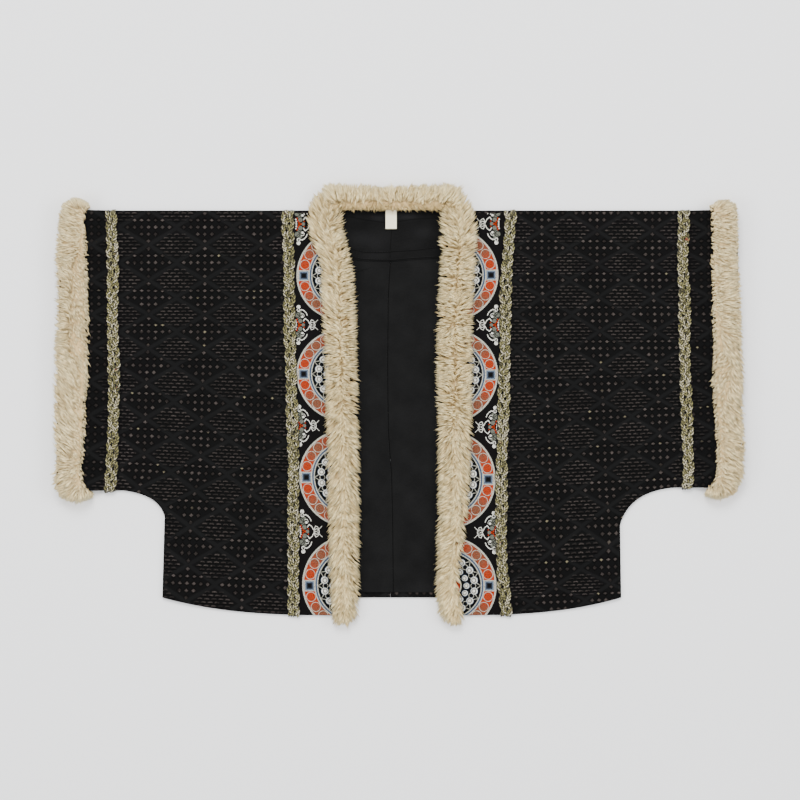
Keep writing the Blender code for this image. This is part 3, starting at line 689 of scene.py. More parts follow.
def half_outlines(half):
    side, fold_y = half.side, SHOULDER_Y - FOLD_DEPTH
    neck_x = front_edge_x(half, fold_y)
    shoulder = [(x, fold_y) for x in spread(neck_x, mouth_x(half, fold_y), EDGE_STEP)]
    cuff = [(mouth_x(half, y), y) for y in spread(fold_y, half.sleeve_low, EDGE_STEP)[1:-1]]
    seam = sewn_line(half)
    hem_end = front_edge_x(half, BACK_HEM_Y - HEM_DROP)
    hem = [(x, front_hem_y(half, x)) for x in spread(half.hem_side, hem_end, EDGE_STEP)[1:]]
    edge = [(front_edge_x(half, y), y) for y in spread(hem[-1][1], fold_y, EDGE_STEP)[1:-1]]
    centre = CENTRE_BACK_X + side * SEAM_HALF_GAP
    back = [(x, BACK_HEM_Y) for x in spread(half.hem_side, centre, EDGE_STEP)[1:]]
    back += [(centre, y) for y in spread(BACK_HEM_Y, BACK_NECK_Y, EDGE_STEP)[1:]]
    back += [(x, BACK_NECK_Y) for x in spread(centre, neck_x - side * 8, EDGE_STEP)[1:]]
    return shoulder, cuff, seam, hem + edge, back


for half in HALVES:
    print(half.name, "points on each outline:", [len(part) for part in half_outlines(half)])


# %% Sew a half together
def edge_distance(places, line):
    """Distance in mm of each place from a line of points, seen from above."""
    flat = places[:, :2]
    nearest = np.full(len(flat), 1e9)
    for a, b in zip(np.array(line[:-1]), np.array(line[1:])):
        run = b - a
        u = np.clip(((flat - a) @ run) / (run @ run), 0, 1)
        nearest = np.minimum(nearest, np.linalg.norm(flat - a - u[:, None] * run, axis=1))
    return nearest


def bridge(piece, chosen, cuts):
    """Bridges the open edges between the chosen points, and gives the indices of the new ones."""
    before = len(piece.data.vertices)
    pick(piece)
    uses = np.zeros(len(piece.data.edges), int)
    for face in piece.data.polygons:
        for key in face.loop_indices:
            uses[piece.data.loops[key].edge_index] += 1
    select_edges(piece, lambda edge: uses[edge.index] == 1 and all(chosen[v] for v in edge.vertices))
    with editing():
        bpy.ops.mesh.bridge_edge_loops(number_cuts=cuts, interpolation="LINEAR")
    return np.arange(before, len(piece.data.vertices))


# How far the seam draws the front down and the back up, and how far it bulges
SEAM_PINCH, SEAM_LIFT, SEAM_BULGE, PINCH_WIDTH = 0.8, 0.3, 0.7, 5.0
PANEL_STEP = 6


def sew_half(half):
    side, fold_y = half.side, SHOULDER_Y - FOLD_DEPTH
    shoulder, cuff, seam, front_rest, back_rest = half_outlines(half)
    front = cut_panel("front", shoulder + cuff + seam + front_rest, PANEL_STEP)
    back = cut_panel("back", shoulder + cuff + seam + back_rest, PANEL_STEP)
    area = cut_area(front, back)
    for panel, height, shift in ((front, front_top, -SEAM_PINCH), (back, back_low, SEAM_LIFT)):
        p = points_of(panel)
        p[:, 2] = height(half, p[:, 0], p[:, 1]) + shift * ease(1 - edge_distance(p, seam) / PINCH_WIDTH)
        move_points(panel, p)
    back.data.flip_normals()
    whole = join_pieces(f"shell_{half.name}", front, back)
    p = points_of(whole)
    new = bridge(whole, np.abs(p[:, 1] - fold_y) < 0.02, 3)
    p = points_of(whole)
    x, z = p[new, 0], p[new, 2]
    top, low = front_top(half, x, fold_y + x * 0), back_low(half, x, fold_y + x * 0)
    turn = np.pi * (top - z) / (top - low)
    p[new, 1] = fold_y + FOLD_DEPTH * np.sin(turn)
    p[new, 2] = (top + low) / 2 + (top - low) / 2 * np.cos(turn)
    move_points(whole, p)
    new = bridge(whole, edge_distance(p, seam) < 0.02, 3)
    p = points_of(whole)
    line = np.array(seam)
    runs = np.gradient(line, axis=0)
    outs = unit(np.stack([runs[:, 1], -runs[:, 0]], 1) * -side)
    nearest = np.argmin(((p[new, None, :2] - line[None]) ** 2).sum(2), axis=1)
    x, y, z = p[new].T
    top, low = front_top(half, x, y) - SEAM_PINCH, back_low(half, x, y) + SEAM_LIFT
    bulge = SEAM_BULGE * np.sin(np.pi * np.clip((z - low) / (top - low), 0, 1))
    p[new, :2] += outs[nearest] * bulge[:, None]
    move_points(whole, p)
    return whole, area


shells = {half.name: sew_half(half) for half in HALVES}
for name, (shell, area) in shells.items():
    print(name, "points:", len(shell.data.vertices), "cut area in square metres:", round(area, 3))


# %% Thickness, hem and the chart of the unfolded cloth
SHELL_WALL = 1.3
# Where the weave of each front starts to tilt sideways
TILT, TILT_FROM_X = 0.045, {"left": -345.0, "right": 277.0}


def finish_shell(half, shell, area):
    face_outwards(shell)
    solidify(shell, SHELL_WALL, use_quality_normals=True)
    p = points_of(shell)
    # The back hem is turned up over itself inside, which raises the last few millimetres
    inside_back = (p[:, 2] > 0.6) & (p[:, 2] < 2.2) & (np.abs(p[:, 0]) < abs(half.hem_side) - 10)
    turned = inside_back & (p[:, 1] < BACK_HEM_Y + HEM_TURN - 0.8)
    p[turned, 2] += 1.0
    move_points(shell, p)
    x, y, z = p.T
    middle = (front_top(half, x, y) + back_low(half, x, y)) / 2
    fold = np.clip(y - (SHOULDER_Y - FOLD_DEPTH), 0, None)
    v = np.where(z > middle, y + fold * 0.4, 2 * SHOULDER_Y - y - fold * 0.4 + 2.0)
    rows = WEAVE[half.name]
    u = x - along(rows, 1, v)
    tilt = TILT * half.side * (x - TILT_FROM_X[half.name]) * ease((120.0 - v) / 150.0)
    v = np.where(v < SHOULDER_Y, along(rows, 2, v) - tilt, v)
    chart_points(shell, "cloth", u, v)
    width = abs(mouth_x(half, half.sleeve_low) - CENTRE_BACK_X) * MM
    finished_sheet(shell, cloth_finishes[half.name], f"body_{half.name}",
                   area + width * 0.008)


for half in HALVES:
    finish_shell(half, *shells[half.name])

# %% [markdown]
# ## The lining
# Plain black lining lies on the back, seamed down the centre. Only the strip between the fur
# edges shows, but it is made as wide as its solid. A real lining is cut a little full, so it
# carries long soft ripples beside the seam, and these are given one by one, uneven and low.

# %% Lining halves
PLAIN_WEAVE = 0.9
# Middle x and y, direction in degrees, half length, half width, height
RIPPLES = [
    (-30, 176, 12, 34, 6, 0.7), (20, 168, -8, 34, 6, 0.5), (4, 120, 90, 60, 7, 0.5),
    (-40, 60, 84, 90, 6, 0.6), (24, 30, 98, 90, 8, 0.6), (-34, -70, 100, 80, 7, 0.5),
    (14, -120, 76, 80, 6, 0.6), (-28, -196, 20, 40, 7, 0.7), (26, -176, 158, 36, 8, 0.6),
    (0, -232, 4, 40, 6, 0.6), (-6, -100, 90, 50, 2.5, 0.6), (-22, -20, 92, 60, 4, 0.4),
]
# y and x along the centre seam, which wanders a little
SEAM = [(264, -10.0), (232, -10.1), (204, -12.1), (190, -11.7), (171, -13.1), (140, -14.6),
        (46, -15.3), (-35, -14.4), (-99, -9.9), (-166, -8.5), (-251, -7.7), (-262, -7.6)]


def read_rows(table, at):
    """Each column of a table after the first, read at places in the first, straight from row to row."""
    rows = np.array(sorted(table), float)
    return [np.interp(at, rows[:, 0], column) for column in rows.T[1:]]


def follow(table, at):
    """Reads a table of two columns."""
    return read_rows(table, at)[0]


def seam_x(y):
    return follow(SEAM, y)


def lining_top(x, y):
    """Top of the lining: it dips at the centre seam and ripples gently where it shows."""
    shown = ease((x - fur_inner_x(-1, y) + 4) / 10) * ease((fur_inner_x(1, y) - x + 4) / 10)
    shown = shown * ease((192 - y) / 12) * ease((y + 250) / 8)
    lift = 0.25 * np.sin(x / 9.0 + y / 31.0) + 0.2 * np.sin(y / 17.0 - x / 23.0) + 0.3
    lift = soft_ridges(RIPPLES, x, y, lift)
    seam = np.exp(-((x - seam_x(y)) / 2.5) ** 2) * 0.8
    return LINING_TOP - 0.15 + (lift + seam * -0.6 + 0.25) * shown


def lay_sheet(name, outline, step, top, thickness):
    """Cuts a sheet, lays it at the height that top gives, and thickens it downwards."""
    sheet = cut_panel(name, outline, step)
    area = cut_area(sheet)
    p = points_of(sheet)
    p[:, 2] = top(p[:, 0], p[:, 1])
    move_points(sheet, p)
    face_outwards(sheet)
    if sheet.data.polygons[0].normal.z < 0:
        sheet.data.flip_normals()
    solidify(sheet, thickness)
    return sheet, area


def plain_black(name, light, lines):
    """Plain black cloth, paler where a painted highlight is noted, and painted shade in dark lines where the
    noted distances pass through 0.
    """
    cloth = Finish(name, Roughness=0.75, Specular_IOR_Level=0.05)
    u, v = cloth.chart("cloth")
    spot = cloth.vector(u, v, 0.0)
    weave = u.waves(PLAIN_WEAVE) * v.waves(PLAIN_WEAVE)
    slub = cloth.noise(cloth.vector(u * 0.12, v * 1.6, 0.0), 1.0, 3.0)
    cloudy = cloth.noise(spot, 0.03, 3.0)
    grain = cloth.noise(spot, 0.6, 2.0, 0.7)
    shade = slub * 0.25 + cloudy * 0.4 + grain * 0.35 + weave * 0.05
    colour = cloth.blend((shade * 2.0 - 0.5).kept(0.0, 1.0), grey(light - 10), grey(light + 9))
    # Painted highlight: paler where painted light is noted on the points
    bloom = cloth.noted("bloom") * (grain * 0.9 + cloudy * 0.5)
    colour = cloth.blend(bloom, colour, paint(light + 18, light + 18, light + 19))
    # Painted shade: dark lines along the grooves of seams, stitch rows, folds and edges
    for line in lines:
        colour = cloth.blend(abs(cloth.noted(line)).within(0.5, 0.5) * 0.85, colour, grey(3))
    height = weave * 0.4 + slub * 0.6
    return cloth.feed(Base_Color=colour, Normal=cloth.bump(height, 0.2, 0.5))


# The lining is painted dark along its centre seam and a fold, as shade in them
lining_finish = plain_black("lining_cloth", 16, ["from_seam", "from_fold"])


def lay_lining(half):
    side = half.side
    edge = half.hem_side + 14.0 if side < 0 else half.arm_end[0] - 12.0
    low, high = BACK_HEM_Y + HEM_TURN, SHOULDER_Y - FOLD_DEPTH - 2.0
    neck_x = front_edge_x(half, high) - side * 10.0
    seam = [(seam_x(y) + side * SEAM_HALF_GAP, y) for y in spread(BACK_NECK_Y - 1.0, low, 12)]
    outline = [(edge, low), (edge, high), (neck_x, high), (neck_x - side * 6.0, BACK_NECK_Y - 1.0)] + seam
    sheet, area = lay_sheet(f"lining_cloth_{half.name}", outline, 7, lining_top, 0.7)
    x, y = points_of(sheet)[:, :2].T
    chart_points(sheet, "cloth", x, y)
    # A painted highlight along the lower edge of the lining, and the distances to the centre seam and to a
    # fold, along which the finish paints shade
    fold = (y - follow([(-62, 176.5), (-46, 181.0), (-32, 184.0)], x)) * (1 + 9 * ease((x + 46.0) / 16.0))
    note_points(sheet, bloom=0.15 * np.exp(-(y + 250.0) ** 2 / 60.0), from_seam=x - seam_x(y), from_fold=fold)
    finished_sheet(sheet, lining_finish, f"lining_{half.name}",
                   area)


for half in HALVES:
    lay_lining(half)

# %% [markdown]
# ## The facing behind the neck
# A separate band of the lining cloth covers the back neck, with its lower edge hanging in a
# shallow curve. Two rows of stitches hold it. Each stitch is a real short thread that dips at
# both ends, and one stitch is modelled and copied, because a drawn line would not catch light.

# %% Facing
FACING_LOW = 3.2
# x and y along the lower edge, the row of stitches above it, and the seam at the neck
LOW_EDGE = [(-62, 196.7), (-50, 193.6), (-26, 192.6), (-7, 192.6), (20, 195.2), (52, 196.9)]
UPPER_ROW = [(-62, 208.7), (-49, 204.9), (-28, 203.9), (-4, 205.6), (20, 207.1), (47, 210.2), (54, 210.8)]
NECK_SEAM = [(-66, 252.2), (-47, 248.4), (-20, 244.6), (-1, 246.1), (20, 249.2), (47, 250.7)]
# Painted highlights where the cloth puffs up or its edges rise: middle x and y, two half widths, how much
PAINTED_LIGHT = [(-46, 223, 20, 10, 0.5), (-30, 214, 14, 9, 0.3), (31, 231, 13, 8, 0.5), (20, 214, 14, 6, 0.2),
         (-28, 251, 9, 4, 0.8), (12, 253, 13, 4, 0.9), (-30, 199, 20, 4, 0.4)]


def facing_top(x, y):
    """Top of the facing: a fold line left of the label and soft puckers by the stitches."""
    row = y - follow(UPPER_ROW, x)
    pucker = 0.3 * np.sin(x / 2.6 + 1.7 * np.sin(x / 7.0)) * np.exp(-(row / 5.0) ** 2)
    pucker = pucker - 0.35 * np.exp(-(row / 2.5) ** 2)
    fold = 0.5 * np.exp(-((y - 222.0 - (x - 4.0) * 0.07) / 2.2) ** 2)
    fold = fold * ease((x + 2) / 10) * ease((50 - x) / 18)
    puff = 0.5 * np.exp(-((x + 40) / 20) ** 2 - ((y - 224) / 12) ** 2)
    puff = puff + 0.4 * np.exp(-((x - 26) / 16) ** 2 - ((y - 212) / 9) ** 2)
    edge = 0.2 * np.exp(-((y - 250.0) / 6.0) ** 2)
    return FACING_LOW + 0.75 + (pucker + fold + puff + edge) * ease((252 - y) / 10)


# The facing is painted dark along its lower edge, its upper row of stitches, the neck seam and the centre
# seam, as shade in their grooves
facing_finish = plain_black("facing_cloth", 13, ["from_edge", "from_row", "from_neck", "from_seam"])


def lay_facing():
    outline = []
    first, last = LOW_EDGE[0][0], LOW_EDGE[-1][0]
    for u in np.linspace(0, 1, 25):
        y = follow(LOW_EDGE, first + (last - first) * u)
        left, right = fur_inner_x(-1, y) - 3.0, fur_inner_x(1, y) + 3.0
        outline.append((left + (right - left) * u, y))
    top_y = BACK_NECK_Y - 1.5
    outline += [(fur_inner_x(1, y) + 3.0, y) for y in spread(199.0, top_y, 6)[1:]]
    outline += [(fur_inner_x(-1, y) - 3.0, y) for y in spread(top_y, 197.0, 6)[:-1]]
    sheet, area = lay_sheet("facing_cloth", outline, 3, facing_top, 0.65)
    x, y = points_of(sheet)[:, :2].T
    chart_points(sheet, "cloth", x, y)
    # Painted highlights on the puffs and raised edges of the facing
    bloom = sum(share * np.exp(-((x - mid_x) / wide) ** 2 - ((y - mid_y) / high) ** 2)
                for mid_x, mid_y, wide, high, share in PAINTED_LIGHT)
    note_points(sheet, bloom=bloom, from_seam=x - seam_x(y), from_edge=y - follow(LOW_EDGE, x) - 1.2,
                from_row=y - follow(UPPER_ROW, x), from_neck=y - follow(NECK_SEAM, x))
    finished_sheet(sheet, facing_finish, "facing_neck", area)


lay_facing()


# %% One stitch, copied along the seams
def one_stitch():
    """A short thread: a six-sided cylinder whose ends dip, 1 mm long and lying along X."""
    bpy.ops.object.select_all(action="DESELECT")
    bpy.ops.mesh.primitive_cylinder_add(vertices=6, radius=0.5 * MM, depth=1 * MM,
                                        rotation=(0, math.pi / 2, 0))
    thread = bpy.context.object
    bpy.ops.object.transform_apply(location=False, rotation=True, scale=False)
    with editing():
        slice_mesh([cut * MM for cut in (-0.25, 0.0, 0.25)], 0)
    p = points_of(thread)
    thin = 1 - 0.45 * (2 * np.abs(p[:, 0])) ** 2
    p[:, 1:] *= thin[:, None]
    return thread, p


def copies_mesh(name, places, corners, sizes):
    """One mesh of many copies. places has one block of points in mm for each copy."""
    count, each = places.shape[:2]
    mesh = bpy.data.meshes.new(name)
    mesh.vertices.add(count * each)
    mesh.vertices.foreach_set("co", (places * MM).astype(np.float32).ravel())
    all_corners = (corners[None] + (np.arange(count) * each)[:, None]).ravel()
    all_sizes = np.tile(sizes, count)
    mesh.loops.add(len(all_corners))
    mesh.loops.foreach_set("vertex_index", all_corners)
    mesh.polygons.add(len(all_sizes))
    mesh.polygons.foreach_set("loop_start", np.concatenate([[0], np.cumsum(all_sizes)[:-1]]))
    mesh.update(calc_edges=True)
    piece = bpy.data.objects.new(name, mesh)
    bpy.context.scene.collection.objects.link(piece)
    return piece


stitch, stitch_points = one_stitch()
stitch_corners, stitch_sizes = mesh_arrays(stitch)


def run_along(line):
    """Length of the line up to each of its points."""
    return np.concatenate([[0], np.cumsum(np.linalg.norm(np.diff(line, axis=0), axis=1))])


def stitch_row(name, line, top, length, gap, width, material):
    """Stitches along a line of x and y places, lying on the surface that top gives."""
    line = np.array(line)
    run = run_along(line)
    dip = (2 * np.abs(stitch_points[:, 0])) ** 2
    blocks = []
    for start in np.arange(gap / 2, run[-1] - length, length + gap):
        ends = [np.array([np.interp(start + d, run, line[:, axis]) for axis in (0, 1)]) for d in (0, length)]
        along_dir = (ends[1] - ends[0]) / length
        across_dir = np.array([-along_dir[1], along_dir[0]])
        local = stitch_points * np.array([length, width, width])
        flat = (ends[0] + ends[1]) / 2 + local[:, :1] * along_dir + local[:, 1:2] * across_dir
        z = top(flat[:, 0], flat[:, 1]) + local[:, 2] + width * (0.35 - 0.75 * dip)
        blocks.append(np.column_stack([flat, z]))
    piece = copies_mesh(name, np.array(blocks), stitch_corners, stitch_sizes)
    shade_soft(piece, 60)
    finished(piece, material, [])


black_thread = Finish("black_thread", Base_Color=grey(13), Roughness=0.6, Specular_IOR_Level=0.2)
facing_rows = {
    "stitches_facing_upper": [(x, follow(UPPER_ROW, x) + 0.9) for x in range(-60, 54, 2)],
    "stitches_facing_lower": [(x, follow(LOW_EDGE, x) + 2.4) for x in range(-60, 52, 2)],
}
for row_name, line in facing_rows.items():
    stitch_row(row_name, line, facing_top, 2.6, 1.0, 0.5, black_thread.material)
seam_line = [(seam_x(y) - 1.1, y) for y in range(190, -252, -4)]
stitch_row("stitches_centre_back", seam_line, lining_top, 3.2, 0.7, 0.45, black_thread.material)

# %% [markdown]
# ## The neck label
# A small woven label is folded into the neck seam. It curls a little off the facing, its lower
# edge is cut with pinking shears, and a bar of cream stitches holds its top. It is left plain.

# %% Label
LABEL_LOW = FACING_LOW + 0.8 + 0.3
LABEL_X, LABEL_WIDTH, LABEL_TOP, LABEL_BOTTOM = -10.6, 14.8, BACK_NECK_Y - 2.0, 235.6
LABEL_WEAVE = 0.5
TEETH = 10
# The bar of stitches: x of its left end, its length, y of its lower row, and the step to the next
BAR_LEFT, BAR_LENGTH, BAR_LOW, BAR_STEP = -17.4, 13.6, 255.5, 1.5


def label_tape_finish():
    tape = Finish("label_tape", Roughness=0.75, Specular_IOR_Level=0.2)
    x, y, z = tape.place()
    weave = x.waves(LABEL_WEAVE) * y.waves(LABEL_WEAVE)
    cloudy = tape.noise(tape.vector(x, y, 0.0), 0.3, 3.0)
    colour = tape.blend(cloudy * 0.7 + weave * 0.1, paint(246, 236, 200), paint(255, 250, 226))
    return tape.feed(Base_Color=colour, Normal=tape.bump(weave, 0.1, 0.4))


def label_top(x, y):
    curl = 1.3 * ease((256.0 - y) / 20.0) + 0.35 * np.sin((x + 9.5) / 15.0 * np.pi) * ease((250.0 - y) / 12.0)
    return LABEL_LOW + 1.1 + curl


def lay_label():
    left, right = LABEL_X - LABEL_WIDTH / 2, LABEL_X + LABEL_WIDTH / 2
    outline = [(right, LABEL_BOTTOM), (right, LABEL_TOP), (left, LABEL_TOP)]
    for k in range(TEETH * 2):
        outline.append((left + LABEL_WIDTH * k / (TEETH * 2), LABEL_BOTTOM + (0.0 if k % 2 == 0 else 0.9)))
    tape, area = lay_sheet("label_tape", outline, 1.5, label_top, 0.9)
    finished_sheet(tape, label_tape_finish(), "label", area)


lay_label()
cream_thread = Finish("cream_thread", Base_Color=paint(235, 226, 196), Roughness=0.6, Specular_IOR_Level=0.3)
for row in range(2):
    bar = [(BAR_LEFT + BAR_LENGTH * u, BAR_LOW + BAR_STEP * row + 0.5 * u) for u in np.linspace(0, 1, 9)]
    stitch_row(f"stitches_label_{row}", bar, label_top, 1.2, 0.25, 0.6, cream_thread.material)
bpy.data.objects.remove(stitch)

# %% [markdown]
# ## The brocade ribbon
# Between braid and fur lies a wide woven ribbon with large roundels, one under another, and
# small palmettes between them. More than half of it is hidden by the fur. The pattern belongs to
# the ribbon, so it is drawn in the ribbon's own chart: u runs from the line of roundel centres
# towards the braid, and v along the ribbon, with 139.2 mm from one roundel to the next.

# %% The ribbon's chart
ROUNDEL_STEP = 139.2
# y of each roundel's centre, then x of it: left ribbon, then right ribbon
ROUNDELS = {
    "left": [(312.0, -74.0), (172.8, -74.0), (40.5, -74.3), (-98.6, -70.6), (-244.9, -66.2), (-384.0, -62.0)],
    "right": [(312.0, 70.0), (173.7, 69.8), (39.4, 69.4), (-101.5, 65.9), (-244.9, 67.4), (-384.0, 68.0)],
}


def ribbon_chart(half, x, y):
    """u and v in the ribbon, from x and y."""
    centre, steps = read_rows([(*row, k) for k, row in enumerate(ROUNDELS[half.name])], y)
    return (x - centre) * half.side, -steps * ROUNDEL_STEP


for half in HALVES:
    print(half.name, "u of the braid edge:", ribbon_chart(half, half.side * 139.0, 40.0)[0].round(1))


# %% Shapes drawn in a chart
class Drawing:
    """Masks of simple shapes in a flat chart with coordinates p and q, in mm."""

    def __init__(self, p, q, soft=0.25):
        self.p = p
        self.q = q
        self.soft = soft

    def disc(self, p, q, radius, squash=1.0):
        far = ((self.p - p) * (self.p - p) + (self.q - q) * (self.q - q) * squash).root()
        return far.within(radius, self.soft)

    def ring(self, p, q, radius, width):
        far = ((self.p - p) * (self.p - p) + (self.q - q) * (self.q - q)).root()
        return abs(far - radius).within(width / 2, self.soft)

    def stroke(self, points, width):
        """A line through the points, thinner at its far end."""
        parts = []
        for k, (a, b) in enumerate(zip(points, points[1:])):
            run = (b[0] - a[0], b[1] - a[1])
            length = run[0] * run[0] + run[1] * run[1]
            share = ((self.p - a[0]) * run[0] + (self.q - a[1]) * run[1]) * (1 / length)
            share = share.kept(0.0, 1.0)
            dp = self.p - a[0] - share * run[0]
            dq = self.q - a[1] - share * run[1]
            edge = width / 2 * (1 - 0.35 * k / (len(points) - 1))
            parts.append((dp * dp + dq * dq).root().within(edge, self.soft))
        return functools.reduce(Wire.larger, parts)

    def shapes(self, strokes=(), discs=(), rings=()):
        """One mask of several shapes."""
        parts = [self.stroke(*stroke) for stroke in strokes]
        parts += [self.disc(*disc) for disc in discs] + [self.ring(*ring) for ring in rings]
        return functools.reduce(Wire.larger, parts)


# %% Brocade finish
RIBBON_WEAVE = 0.8
SILVER, BRIGHT, SILVER_DARK = paint(178, 176, 162), paint(226, 224, 212), paint(92, 89, 80)
ORANGE, ORANGE_DULL, GREY_GREEN = paint(160, 48, 14), paint(124, 66, 44), paint(90, 88, 72)
SLATE, PALE_BLUE, RING_BLUE = paint(40, 47, 58), paint(100, 114, 130), paint(62, 76, 98)
RIBBON_BLACK = grey(9)
DEGREE = math.pi / 180
ROUNDEL_RADIUS = 64.1
# Distance from the middle of a roundel to its small circles, and to the large and small pearls
CIRCLES_AT, PEARLS_AT, SMALL_AT = 54.6, 34.6, 23.5


def pearl_circle(ribbon, colour, circle, radius, hollow):
    """Paints pearls with a blue rim and a dark hollow. hollow is its middle, radius and width."""
    return ribbon.painted(colour, (circle.disc(0, 0, radius + 0.7), RING_BLUE),
                          (circle.disc(0, 0, radius), BRIGHT), (circle.ring(*hollow), SILVER_DARK))


def roundel_colours(ribbon, colour, u, dv):
    """Paints one roundel over the colour, and gives the colour and how far the threads stand up."""
    far = (u * u + dv * dv).root()
    turn = dv.arctan2(u) * (1 / DEGREE)
    in_disc = far.within(ROUNDEL_RADIUS, 0.3)
    # Band of small circles, bright orange beside the squares and duller between them
    from_square = abs(turn.wrapped(90.0))
    band = ribbon.blend(from_square.beyond(30.0, 14.0), ORANGE, ORANGE_DULL)
    circles = Drawing(far - CIRCLES_AT, turn.wrapped(15.7) * (DEGREE * CIRCLES_AT))
    mottle = ribbon.noise(ribbon.vector(u, dv, 5.0), 1.3, 2.0, 0.7).within(0.47, 0.06)
    tired = from_square.beyond(24.0, 14.0) * 0.45 + 0.2
    rings = circles.ring(0, 0, 6.3, 0.8)
    colour = ribbon.painted(colour, (in_disc, SILVER), (far.within(61.8, 0.35), band),
                            (circles.disc(0, 0, 5.6) * mottle * tired, GREY_GREEN), (rings, SILVER))
    # Squares with a silver frame, a pale blue edge and a black middle
    quarter = turn.wrapped(90.0) * DEGREE
    block = abs((quarter + math.pi / 2).sine() * far - 54.2).larger(abs(quarter.sine() * far))
    colour = ribbon.blend(block.within(7.4, 0.4), colour, SILVER)
    for edge, layer in ((6.1, PALE_BLUE), (4.4, SLATE), (2.7, RIBBON_BLACK)):
        colour = ribbon.blend(block.within(edge, 0.3), colour, layer)
    # Inner rings: silver, blue, silver
    for edge, layer in ((47.8, SILVER), (46.4, RING_BLUE), (44.2, SILVER), (42.9, RIBBON_BLACK)):
        colour = ribbon.blend(far.within(edge, 0.3), colour, layer)
    # Two circles of pearls, with fine leaves between them and the ring
    pearls = Drawing(far - PEARLS_AT, abs((turn - 12.0).wrapped(24.0) * (DEGREE * 35.0)))
    colour = pearl_circle(ribbon, colour, pearls, 4.5, (-0.5, 0.2, 2.6, 1.3))
    leaves = pearls.shapes(strokes=[([(2.6, 3.6), (4.8, 5.4), (7.6, 6.9)], 0.7),
                                    ([(-3.5, 3.6), (-5.5, 6.9)], 0.6), ([(0.5, 4.6), (1.5, 7.2)], 0.7)])
    colour = ribbon.blend(leaves, colour, SILVER)
    small = Drawing(far - SMALL_AT, abs(turn.wrapped(25.0) * (DEGREE * SMALL_AT)))
    colour = pearl_circle(ribbon, colour, small, 3.7, (-0.4, 0.2, 2.2, 1.1))
    colour = ribbon.painted(colour, (far.within(16.0, 0.4), ORANGE),
                            (abs(far - 16.0).within(0.8, 0.3), SILVER))
    raised = rings.larger(block.within(6.2, 0.3)).larger(abs(far - 62.9).within(1.5, 0.4))
    return colour, raised * in_disc


def palmette_colours(ribbon, colour, p, q):
    """Paints a palmette, mirrored about its middle. p runs from the braid edge, q from the middle."""
    shape = Drawing(p, q, 0.2)
    white = shape.shapes(
        strokes=[([(5.8, 19.8), (9.5, 21.6), (12.5, 20.0), (15.5, 16.6), (16.6, 13.5)], 1.5),
                 ([(11.2, 5.4), (13.9, 9.0), (17.5, 6.3), (19.7, 1.9)], 1.3),
                 ([(20.0, 2.0), (22.3, 7.0), (25.0, 6.0), (27.0, 3.0), (31.0, 7.0)], 0.9),
                 ([(8.6, 15.6), (11.6, 15.4), (13.0, 12.4)], 0.8)],
        discs=[(4.9, 25.6, 2.6), (10.3, 11.7, 1.6), (1.2, 6.2, 1.0), (1.9, 3.4, 1.0), (1.9, 1.0, 1.0),
               (22.6, 0.0, 0.9), (25.2, 0.9, 0.6)],
        rings=[(5.0, 21.0, 1.9, 1.0), (23.8, 0.0, 3.4, 0.9)])
    petals = shape.shapes(discs=[(2.9, 14.0, 3.8), (7.4, 5.6, 3.7, 1.3), (11.2, 0.0, 2.4), (6.6, 16.4, 3.2),
                                 (6.4, 10.0, 3.0)])
    lines = shape.shapes(
        strokes=[([(3.5, 24.5), (6.5, 20.6), (10.0, 18.6), (13.4, 15.0)], 0.8),
                 ([(1.5, 17.0), (5.5, 13.2), (8.8, 8.6)], 0.8)],
        rings=[(2.9, 14.0, 3.8, 0.9), (7.4, 5.6, 3.4, 0.9)])
    beads = shape.shapes(discs=[(2.7, 7.4, 1.2), (3.9, 4.2, 1.2), (5.6, 1.5, 1.2), (8.2, 0.0, 1.3),
                                (12.6, 3.4, 0.9)])
    colour = ribbon.painted(colour, (petals, paint(100, 102, 92)), (white, BRIGHT), (lines, RIBBON_BLACK),
                            (beads, ORANGE))
    return colour, white.larger(petals * 0.6).larger(beads)


def brocade():
    ribbon = Finish("brocade", Roughness=0.65, Specular_IOR_Level=0.03)
    u, v = ribbon.chart("ribbon")
    spot = ribbon.vector(u, v, 0.0)
    jag = (ribbon.noise(spot, 1.1, 2.0, 0.6) - 0.5) * 0.9
    jog = (ribbon.noise(ribbon.vector(v, u, 3.0), 1.1, 2.0, 0.6) - 0.5) * 0.9
    ground = ribbon.blend(ribbon.noise(spot, 0.9, 2.0), grey(3), paint(19, 17, 17))
    dv = v.wrapped(ROUNDEL_STEP)
    colour, raised = roundel_colours(ribbon, ground, u + jag, dv + jog)
    dq = abs((v - ROUNDEL_STEP / 2).wrapped(ROUNDEL_STEP))
    palmette, lift = palmette_colours(ribbon, ground, 66.2 - u + jag * 0.7, dq + jog * 0.7)
    between = (u * u + dv * dv).root().beyond(64.8, 0.3)
    colour = ribbon.blend(between, colour, palmette)
    raised = raised.larger(lift * between)
    # Threads: fine ribs across the ribbon, and dark and bright flecks of the weave
    rib, end = v.waves(RIBBON_WEAVE), u.waves(RIBBON_WEAVE)
    fleck = ribbon.noise(ribbon.vector(u * 0.6, v * 0.9, 0.0), 1.0, 2.0, 0.7)
    dim = ((fleck - 0.5) * 3.4 + 0.2 + rib * 0.1).kept(0.0, 0.62)
    colour = ribbon.blend(dim, colour, paint(14, 13, 13))
    height = raised * 0.7 + rib * end * 0.15 + fleck * 0.5
    return ribbon.feed(Base_Color=colour, Normal=ribbon.bump(height, 0.4, 0.7))


brocade_finish = brocade()


# %% Lay the ribbons
def braid_line(half, sleeve, y):
    column = (1 if half.side < 0 else 2) + (2 if sleeve else 0)
    return along(BRAID_LINES, column, y)


def trim_base(half, x, y):
    return front_top(half, x, y) + 0.3


